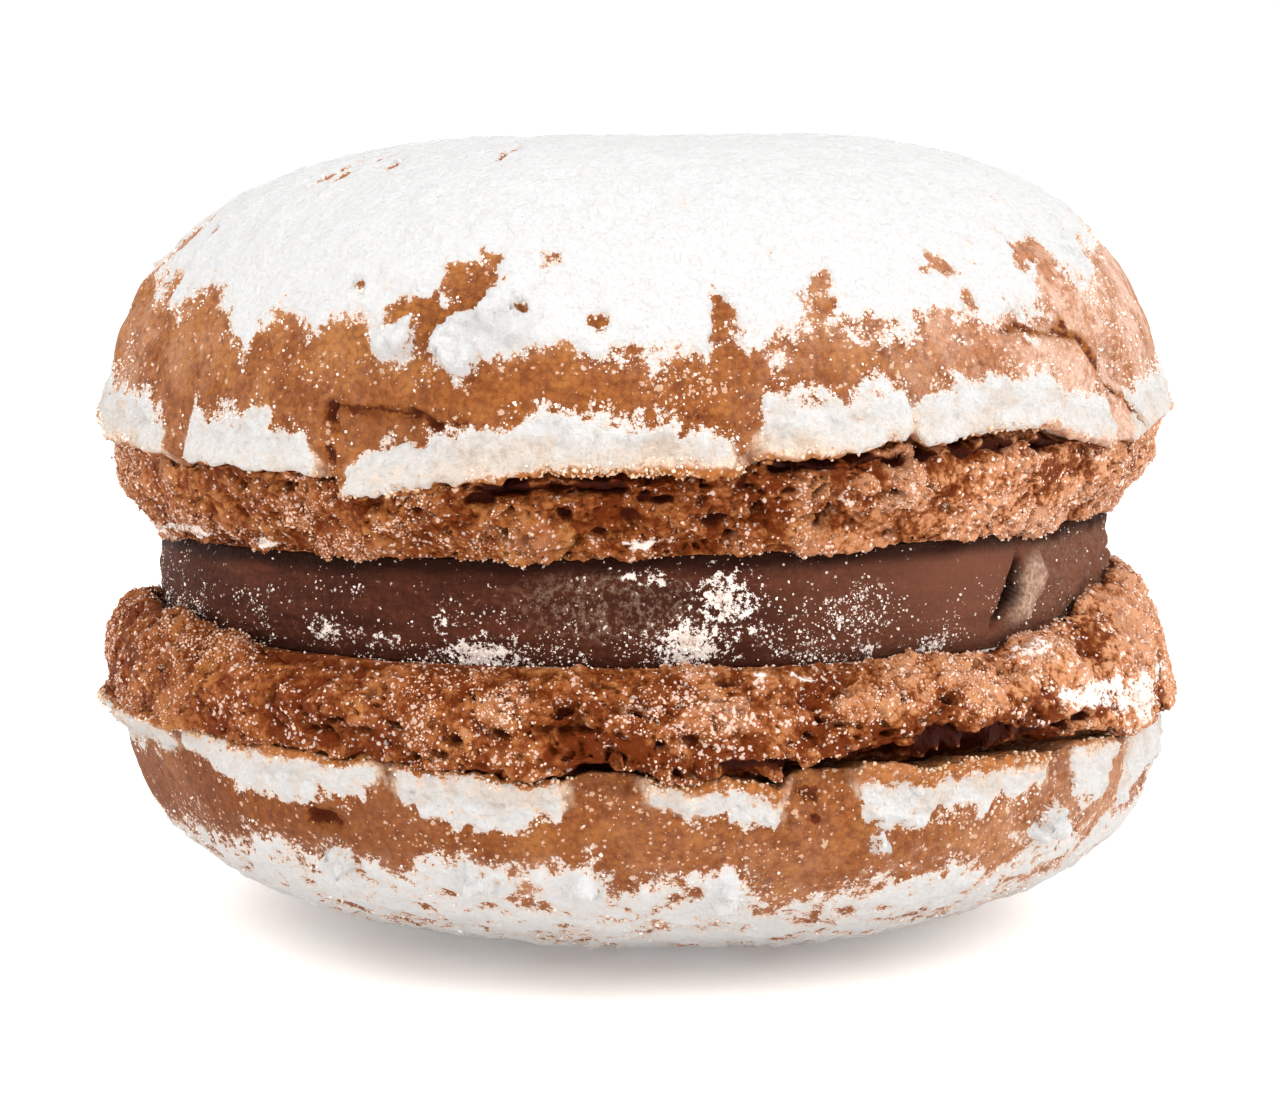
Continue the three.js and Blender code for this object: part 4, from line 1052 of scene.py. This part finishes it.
# A biscuit's crumb with all that shows on it: along the normals it adds lumps, clumps, nubs and mounds,
# and takes away the deeper of its pores and its cavities. Gives what the crystals on it need.
def dressCrumb(name, biscuit, node, material):
    rows = crumbGrid
    angle, radius, height, crevice = crumbSurface(biscuit, rows["columns"], rows)
    count = radius.shape[1]
    crumb, seed = biscuit["crumb"], biscuit["seed"]
    place = pointsAt(angle, radius, height)
    row = np.arange(count)[None, :]
    shown = smoothStep(2, 6, row) * (1 - smoothStep(count - 6, count - 2, row))
    grid = stand(biscuit, angle, radius, height)
    normal = gridNormals(grid, biscuit["side"])

    ledge = 1 - smoothStep(4, 5 + rows["ledge"], row)
    bends = [0.5 * lumps(place, 0.9, seed + n) + 0.26 * lumps(place, 0.4, seed + n + 9) for n in (12, 13, 14)]
    warped = place + np.stack(bends, -1)
    clump, tone, _ = nearestCell(warped, 1.15, seed)
    nub, _, _ = nearestCell(warped, 0.45, seed + 3)
    bulges = crumb["lumps"] * (lumps(place, 2.6, seed + 5) + 0.7 * lumps(place, 1.3, seed + 8))
    bulges = bulges + 0.3 * (0.5 - clump) + 0.2 * (0.5 - nub) + 0.05 * lumps(place, 0.28, seed + 9)
    for at, level, wide, tall, high in crumb["mounds"]:
        away = awayFrom(angle, height, crumb["radius"], at, level, wide, tall)
        bulges = bulges + high * (1 - smoothStep(0.2, 1.1, away))
    crowd = 0.75 + 0.5 * lumps(place, 3.5, seed + 10) + 0.5 * ledge  # pores lie in swarms, most under the flaps
    stretched = warped * np.array([0.8, 0.8, 1.1])
    pores, cavities = np.zeros_like(height), np.zeros_like(height)
    # pores of three sizes: the size of their cells, the widest one, how crowded at least, depth and seed
    for where, size, widest, least, deep, own in (
        (stretched, 1.1, 0.55, 0, 1.0, 15), (warped, 0.6, 0.32, 0, 0.5, 16), (warped, 0.36, 0.17, 0.4, 0.3, 17),
    ):
        found = poresAt(where, size, widest * np.clip(crowd, least, 1.3), seed + own)
        pores = np.maximum(pores, found * deep * crumb["hollow"])
    uneven = 0.5 * layeredLumps(place, 0.7, 62)
    for at, level, wide, tall, deep in crumb["holes"]:
        away = awayFrom(angle, height, crumb["radius"], at, level, wide, tall) + uneven
        cavities = np.maximum(cavities, deep * (1 - smoothStep(0.3, 1.25, away)))
    hollowed = (0.75 - 0.45 * ledge) * cavities
    raised = bulges * (1 - 0.85 * smoothStep(0.1, 0.6, cavities)) - np.maximum(pores, hollowed)
    pores = np.maximum(pores, cavities)
    # painted shade: dark in the pores and cavities, and in the crevices under the flaps
    pit = np.clip(smoothStep(0.1, 0.9, pores) + 0.35 * ledge * smoothStep(0.2, 1.2, crevice), 0, 1)
    pit = pit + smoothStep(0.55, 1.1, cavities)
    grid = grid + normal * (raised * shown * (1 - 0.5 * ledge))[..., None]

    side = np.clip(1 - ledge, 0, 1)
    sun = aroundCurve(biscuit["sun"], angle) * np.ones_like(height)
    melt = aroundCurve(biscuit["melt"], angle) * (0.55 + 0.7 * lumps(place, 2.2, 63)) * (0.3 + 0.7 * side)
    powder = np.full(height.shape, -1.0)
    uneven = 0.3 * lumps(place, 0.8, 64)
    for at, level, wide, tall, amount in biscuit["drifts"]:
        away = awayFrom(angle, height, crumb["radius"], at, level, wide, tall) + uneven
        powder = np.maximum(powder, amount + 0.4 - 1.2 * away)
    first = stand(biscuit, np.array(0.0), np.array(0.0), np.array(crumbClose))
    last = stand(biscuit, np.array(0.0), np.array(0.0), np.array(0.0))
    # tone: each clump's own random tone, less the painted shade of the crumb's shade curve
    attributes = {
        "rise": np.clip(bulges, -1, 1) * shown, "pit": pit, "sun": sun, "dust": np.clip(melt, 0, 1),
        "tone": 0.6 * (tone - 0.5) - 1.1 * aroundCurve(biscuit["shade"], angle), "powder": powder - 1.5 * pit,
    }
    closedPiece(name, grid, first, last, biscuit["side"], attributes, material, node)
    clusters = smoothStep(-0.3, 0.6, lumps(place, 1.6, 65))
    weight = side * shown * smoothStep(-0.1, 0.15, bulges) * (pit < 0.3) * (0.15 + clusters)
    return grid, normal, weight


# The filling

filling = {
    "radius": 20.1,
    "bulge": 0.42,  # how far the side stands out halfway up
    "sway": 0.1,  # how far it wanders in and out round the rim
    "lean": 0.0211,  # how far its top rises per millimetre to the right
    "split": {"angle": 45.9, "wide": 0.26, "depth": 0.9},
    "chip": {"angle": 49.6, "height": 15.6, "wide": 2.7, "tall": 3.6},
    "dryPatch": {"angle": -2.0, "height": 15.8, "wide": 9.5, "tall": 3.4},
    "rough": {"from": 52, "to": 92},  # the crumbled right end
    # dabs of sugar on the cream, as angle, height above the floor, width, height and how dense they are
    "dabs": [
        (9.7, 16, 1.3, 1.2, 0.85), (6.2, 14.3, 1.6, 1.2, 0.9), (-16.5, 13.8, 1.6, 0.7, 1.05),
        (2.5, 16.8, 1, 0.5, 0.4), (0, 16.9, 0.7, 0.4, 0.3), (26, 13.9, 0.8, 0.4, 0.6),
        (-35, 14.4, 1.4, 0.9, 0.25), (-21, 15, 1.6, 1.2, 0.05), (35, 13.8, 0.9, 0.4, 0.7),
        (-31, 16, 0.6, 0.5, 0.2), (-28, 14.2, 2, 0.7, 0.1), (12.5, 14.8, 1.4, 0.9, 0.05),
    ],
    # how much the right end of the cream is painted lighter, as if lit
    "sun": [(-180, 0.2), (-60, 0), (10, 0.05), (22, 0.35), (40, 0.8), (70, 1), (100, 0.6)],
    "cloud": {"angle": 26.0, "height": 15.3, "wide": 4.4, "tall": 2.6},  # a thin cloud of fine sugar
    "dust": [(-180, 0.5), (-90, 0.9), (-50, 1), (-20, 0.8), (0, 0.7), (26, 1.2), (45, 0.4), (90, 0.5)],
}


# How strongly a soft round place of a width and height covers each point of the filling's side.
def patchAt(angle, height, patch):
    oval = (patch[key] for key in ("angle", "height", "wide", "tall"))
    return 1 - smoothStep(0.5, 1.0, awayFrom(angle, height, filling["radius"], *oval))


# The cream as one closed disc: a bulging side (half a sine wave to the power 0.8), with a split, a chip, a
# dry patch and a crumbled end worked into it.
def dressFilling(name, material):
    columns, sideRows = creamGrid["columns"], creamGrid["side"]
    angle = columnAngles(columns)[:, None]
    share = np.linspace(0, 1, sideRows)[None, :]
    place = pointsAt(angle, np.full_like(angle, filling["radius"]), np.zeros_like(angle))
    sway = filling["sway"] * (lumps(place, 12, 4) + lumps(place, 5, 3))
    middle = np.sin(math.pi * share)
    radius = filling["radius"] + sway + filling["bulge"] * np.maximum(middle, 0) ** 0.8
    x = radius * np.sin(np.radians(angle))
    low, high = lowerFace, upperFace + filling["lean"] * x
    height = high + (low - high) * share
    inner = np.array([[7.0, 14.0]])
    tilt = upperFace + filling["lean"] * inner * np.sin(np.radians(angle))
    radius = joinRows(columns, [inner, radius, inner[:, ::-1]])
    height = joinRows(columns, [tilt, height, np.full((1, 2), lowerFace)])

    place = pointsAt(angle, radius, height)
    row = np.arange(radius.shape[1])[None, :]
    shown = smoothStep(1, 4, row) * (1 - smoothStep(sideRows - 1, sideRows + 2, row))
    dry = patchAt(angle, height, filling["dryPatch"])
    tilt = 1.5 * np.clip(height - 15.5, -2, 2)  # the split and the chip both lean to the right
    chip = patchAt(angle - tilt, height, filling["chip"])
    curve = filling["split"]["angle"] + tilt
    across = np.abs(np.radians(turnBetween(angle, curve)) * filling["radius"])
    ragged = 0.16 * lumps(place, 0.7, 91) + 0.1 * lumps(place, 0.35, 90)
    halfOpen = filling["split"]["wide"] * (1 - np.clip((height - 15.6) / 1.45, -1.2, 1.2) ** 4) + 0.6 * ragged
    split = smoothStep(-0.22, 0.16, halfOpen - across) * (across < 1.5)
    rough = smoothStep(filling["rough"]["from"] - 3, filling["rough"]["from"] + 4, angle)
    rough = rough * (1 - smoothStep(filling["rough"]["to"] - 6, filling["rough"]["to"], angle))
    torn = smoothStep(36, 42, angle) * smoothStep(70, 64, angle)  # the cream's upper edge, left of the chip
    torn = torn * smoothStep(16.9, 17.5, height - filling["lean"] * 15 + 0.3 * lumps(place, 0.8, 100))
    topScrap = smoothStep(16.7, 17.6, height) * smoothStep(0.0, 0.6, lumps(place, 1.4, 92)) + torn
    streaks = 0.05 * lumps(place * np.array([0.4, 0.4, 1.8]), 0.9, 93)
    streaks = streaks + 0.09 * lumps(place * np.array([0.5, 0.5, 1.0]), 2.4, 94)
    coarse = 0.2 * layeredLumps(place, 0.8, 95)
    relief = streaks + 0.02 * lumps(place, 0.3, 96) + dry * 0.6 * coarse + rough * coarse
    relief = relief + topScrap * 0.7 * coarse - filling["split"]["depth"] * split
    relief = relief + (0.35 + 0.5 * coarse) * chip + 0.25 * torn
    grid = pointsAt(angle, radius, height)
    normal = gridNormals(grid, 1)
    grid = grid + normal * (relief * shown)[..., None]

    powder = np.full(height.shape, -1.0)
    for at, level, wide, tall, dense in filling["dabs"]:
        away = awayFrom(angle, height, filling["radius"], at, level, 2 * wide, 2 * tall)
        powder = np.maximum(powder, dense - 1.3 * away)
    low = smoothStep(17.0, 13.6, height)
    cloud = patchAt(angle, height, filling["cloud"])
    swarms = smoothStep(-0.3, 0.7, lumps(place, 1.1, 97) + 0.5 * lumps(place, 0.5, 98))
    dust = aroundCurve(filling["dust"], angle) * (0.3 + 1.6 * low) * (0.15 + 1.5 * swarms)
    dust = dust + 3.0 * cloud * (0.4 + swarms)
    # painted shade: in the split, along the top edge under the upper crumb and near the lower edge
    shade = smoothStep(-0.1, 0.1, halfOpen + 0.12 - across) * (across < 1.5) * smoothStep(0.0, 0.2, halfOpen)
    level = height - filling["lean"] * x.mean(1, keepdims=True) + 0.15 * lumps(place, 1.5, 99)
    paintedShade = np.clip(shade + 0.9 * smoothStep(16.75, 17.3, level) + 0.35 * smoothStep(14.0, 13.5, height), 0, 1)
    attributes = {
        "dry": np.clip(dry + 0.6 * rough + 0.35 * topScrap, 0, 1), "paintedShade": paintedShade, "chip": chip,
        "powder": powder, "dust": dust, "sun": aroundCurve(filling["sun"], angle) * np.ones_like(height),
    }
    first, last = [0.0, 0.0, upperFace], [0.0, 0.0, lowerFace]
    closedPiece(name, grid, first, last, 1, attributes, material, "filling")
    return grid, normal, dust, powder, shown


# Grains of sugar: each is a rough eight-sided crystal, turned and stretched at random, half sunk into
# the surface at one of the given points.
def scatterGrains(name, points, normals, sizes, material):
    corners = np.array([(1, 0, 0), (-1, 0, 0), (0, 1, 0), (0, -1, 0), (0, 0, 1), (0, 0, -1)], float)
    faces = np.array([(0, 2, 4), (2, 1, 4), (1, 3, 4), (3, 0, 4), (2, 0, 5), (1, 2, 5), (3, 1, 5), (0, 3, 5)])
    count = len(points)
    turns = np.linalg.qr(randomness.normal(size=(count, 3, 3)))[0]
    turns[:, :, 0] *= np.sign(np.linalg.det(turns))[:, None]
    shapes = corners[None] * randomness.uniform(0.75, 1.3, (count, 6, 1))
    shapes = shapes * randomness.uniform(0.7, 1.2, (count, 1, 3))
    grains = np.einsum("nij,nkj->nki", turns, shapes) * sizes[:, None, None]
    grains = grains + (points + normals * (sizes * 0.25)[:, None])[:, None, :]
    grains[..., 2] = np.maximum(grains[..., 2], 0.0)
    mesh = bpy.data.meshes.new(name)
    allFaces = (faces[None] + (np.arange(count) * 6)[:, None, None]).reshape(-1, 3)
    mesh.from_pydata((grains.reshape(-1, 3) * metre).tolist(), [], allFaces.tolist())
    placePiece(name, mesh, material, None)


# Picks places on a surface grid, more of them where the weight is larger.
def pickPlaces(grid, normal, weight, count):
    along = np.linalg.norm(np.gradient(grid, axis=1), axis=-1)
    across = np.linalg.norm(np.roll(grid, -1, 0) - grid, axis=-1)
    chance = (np.clip(weight, 0, None) * along * across).ravel()
    chosen = randomness.choice(chance.size, count, replace=False, p=chance / chance.sum())
    aside = (np.roll(grid, -1, 0) - grid).reshape(-1, 3)[chosen] * randomness.uniform(0, 1, (count, 1))
    down = np.gradient(grid, axis=1).reshape(-1, 3)[chosen] * randomness.uniform(-0.5, 0.5, (count, 1))
    down = np.where(np.linalg.norm(down, axis=1, keepdims=True) < 0.25, down, 0)
    return grid.reshape(-1, 3)[chosen] + aside + down, normal.reshape(-1, 3)[chosen]


# Strews one kind of grain over a surface, more of them where the weight is larger.
def strew(name, kind, grid, normal, weight, material):
    settings = grainKinds[kind]
    points, normals = pickPlaces(grid, normal, weight, settings["count"])
    sizes = settings["least"] + settings["more"] * randomness.random(len(points)) ** settings["rarity"]
    scatterGrains(name, points, normals, sizes, material)


# how many grains of each kind there are, their least size in millimetres, how much more the largest have,
# and how rare the large ones are
grainKinds = {
    "crust": {"count": 6000, "least": 0.025, "more": 0.065, "rarity": 3},
    "edge": {"count": 900, "least": 0.03, "more": 0.09, "rarity": 2},
    "crumb": {"count": 12000, "least": 0.025, "more": 0.06, "rarity": 2},
    "cream": {"count": 3500, "least": 0.02, "more": 0.06, "rarity": 4},
}

print("making the materials")
crustMaterial = bakedCrust("browned almond meringue with icing sugar", crustLook)
crumbMaterial = openCrumb("open almond crumb", crumbLook)
creamMaterial = chocolateCream("set chocolate cream", creamLook)
sugarMaterial = icingSugar("icing sugar grains", "#d8bca8", "#ece6e0")
toastMaterial = icingSugar("crisp flakes of the crust", "#a9794f", "#d3bca4")
crystalMaterial = icingSugar("sugar crystals in the crumb", "#a56f4c", "#d9b9a5")

print("shaping the biscuits")
for label, biscuit in (("upper", upperBiscuit), ("lower", lowerBiscuit)):
    node = label + "_biscuit"
    grid, normal, powder, dust, outer, edge = dressCrust(label + "_crust", biscuit, node, crustMaterial)
    nearEdge = np.exp(-((np.clip(powder, -3, 3) + 0.05) ** 2) / 0.06)
    weight = (nearEdge + (0.006 + 0.22 * dust) * (powder < 0)) * outer
    strew(label + "_crust_sugar", "crust", grid, normal, weight, sugarMaterial)
    weight = edge * (0.05 + smoothStep(-0.1, 0.5, lumps(grid, 1.4, 86)))
    strew(label + "_edge_crumbs", "edge", grid, normal, weight, toastMaterial)
    grid, normal, weight = dressCrumb(label + "_crumb", biscuit, node, crumbMaterial)
    strew(label + "_crumb_sugar", "crumb", grid, normal, weight, crystalMaterial)

print("spreading the filling")
grid, normal, dust, powder, shown = dressFilling("cream", creamMaterial)
weight = (np.clip(dust, 0, None) ** 1.5 + 12 * np.clip(powder, 0, 1)) * shown
strew("cream_sugar", "cream", grid, normal, weight, sugarMaterial)


# The studio

studio = {
    "tableTop": "#fbf6f2",
    "tableGlow": 0.18,  # the lit table top under the cookie
    # how bright the white walls are on each side, low and high, and straight behind the cookie
    "world": {"left": 0.86, "right": 0.93, "front": 2.34, "rear": 0.85, "low": 1.1, "high": 1.1, "back": 1.05},
    "aim": (0, 0, 0.016),  # what the lights point at
    "tableHalf": 1.5,  # half the table's width, like the places and sizes of the lights in metres
    "key": {"place": (0.4, -0.17, 0.28), "size": 0.28, "power": 1.1},
    "fill": {"place": (-0.3, -0.12, 0.42), "size": 0.3, "power": 0.72},
    # the camera's distance and height in millimetres
    "cameraAway": 131.4,
    "cameraUp": 29.17,
    # in pixels of a picture of this width: its focal length, how far the horizon is above the middle, and
    # how far the view is slid to the right
    "imageWidth": 1280.0,
    "focal": 3000.0,
    "horizonRise": 302.5,
    "slide": 8.0,
    "sensor": 36.0,  # the sensor's width in millimetres
}


# A flat table top, wide enough to reach past every view.
def layTable():
    half = studio["tableHalf"]
    mesh = bpy.data.meshes.new("table_top")
    corners = [(-half, -half, 0), (half, -half, 0), (half, half, 0), (-half, half, 0)]
    mesh.from_pydata(corners, [], [(0, 1, 2, 3)])
    material, add, place = newMaterial("matt white laminate")
    fine = add("TexNoise", {"Vector": place, "Scale": perMm / 6, "Detail": 2})
    rough = add("MapRange", {0: fine, 3: 0.55, 4: 0.65})
    surface = add("BsdfPrincipled", {
        "Base Color": studio["tableTop"], "Roughness": rough, "Specular IOR Level": 0.2,
        "Emission Color": "#ffffff", "Emission Strength": studio["tableGlow"],
    })
    add("OutputMaterial", {"Surface": surface})
    mesh.materials.append(material)
    table = bpy.data.objects.new("table_top", mesh)
    bpy.context.scene.collection.objects.link(table)


# A square soft light at a place, aimed at the cookie's middle.
def softLight(name, settings):
    light = bpy.data.lights.new(name, "AREA")
    light.size = settings["size"]
    light.energy = settings["power"]
    lamp = bpy.data.objects.new(name, light)
    lamp.location = settings["place"]
    aim = np.array(studio["aim"]) - np.array(settings["place"])
    flat = math.hypot(aim[0], aim[1])
    lamp.rotation_euler = (math.atan2(flat, -aim[2]), 0, math.atan2(-aim[0], aim[1]))
    bpy.context.scene.collection.objects.link(lamp)


# The camera, tilted down by the angle whose tangent is the horizon's rise over the focal length.
def setCamera():
    camera = bpy.data.cameras.new("camera")
    camera.sensor_width = studio["sensor"]
    camera.lens = studio["focal"] / studio["imageWidth"] * studio["sensor"]
    camera.shift_x = studio["slide"] / studio["imageWidth"]
    camera.clip_start, camera.clip_end = 0.005, 10.0
    eye = bpy.data.objects.new("camera", camera)
    eye.location = (0, -studio["cameraAway"] * metre, studio["cameraUp"] * metre)
    eye.rotation_euler = (math.pi / 2 - math.atan(studio["horizonRise"] / studio["focal"]), 0, 0)
    bpy.context.scene.collection.objects.link(eye)
    bpy.context.scene.camera = eye


print("lighting the studio")
layTable()
softLight("key_light", studio["key"])
softLight("fill_light", studio["fill"])
setCamera()
world = bpy.data.worlds.new("white studio")
world.use_nodes = True
world.node_tree.nodes.clear()
# white walls all round, brightest behind the camera, and a little brighter on the right than on the left
walls = studio["world"]
room = functools.partial(addNode, world.node_tree)
way = room("SeparateXYZ", {0: room("TexCoord", {}, "Generated")})
level = room("MapRange", {0: way, 1: -1, 2: 1, 3: walls["left"], 4: walls["right"]})
depth = room("MapRange", {0: way.node.outputs["Y"], 1: -0.6, 2: 0.8, 3: walls["front"], 4: walls["rear"]})
level = room("Math", {0: level, 1: depth}, **times)
rise = room("MapRange", {0: way.node.outputs["Z"], 1: -0.1, 2: 0.8, 3: walls["low"], 4: walls["high"]})
level = room("Math", {0: level, 1: rise}, **times)
behind = room("MapRange", {0: way.node.outputs["Y"], 1: 0.8, 2: 0.95, 3: 0.0, 4: walls["back"]})
level = room("Math", {0: level, 1: behind}, operation="MAXIMUM")
glow = room("Background", {"Color": (1, 1, 1, 1), "Strength": level})
room("OutputWorld", {"Surface": glow})
bpy.context.scene.world = world
bpy.context.scene.view_settings.view_transform = "Standard"
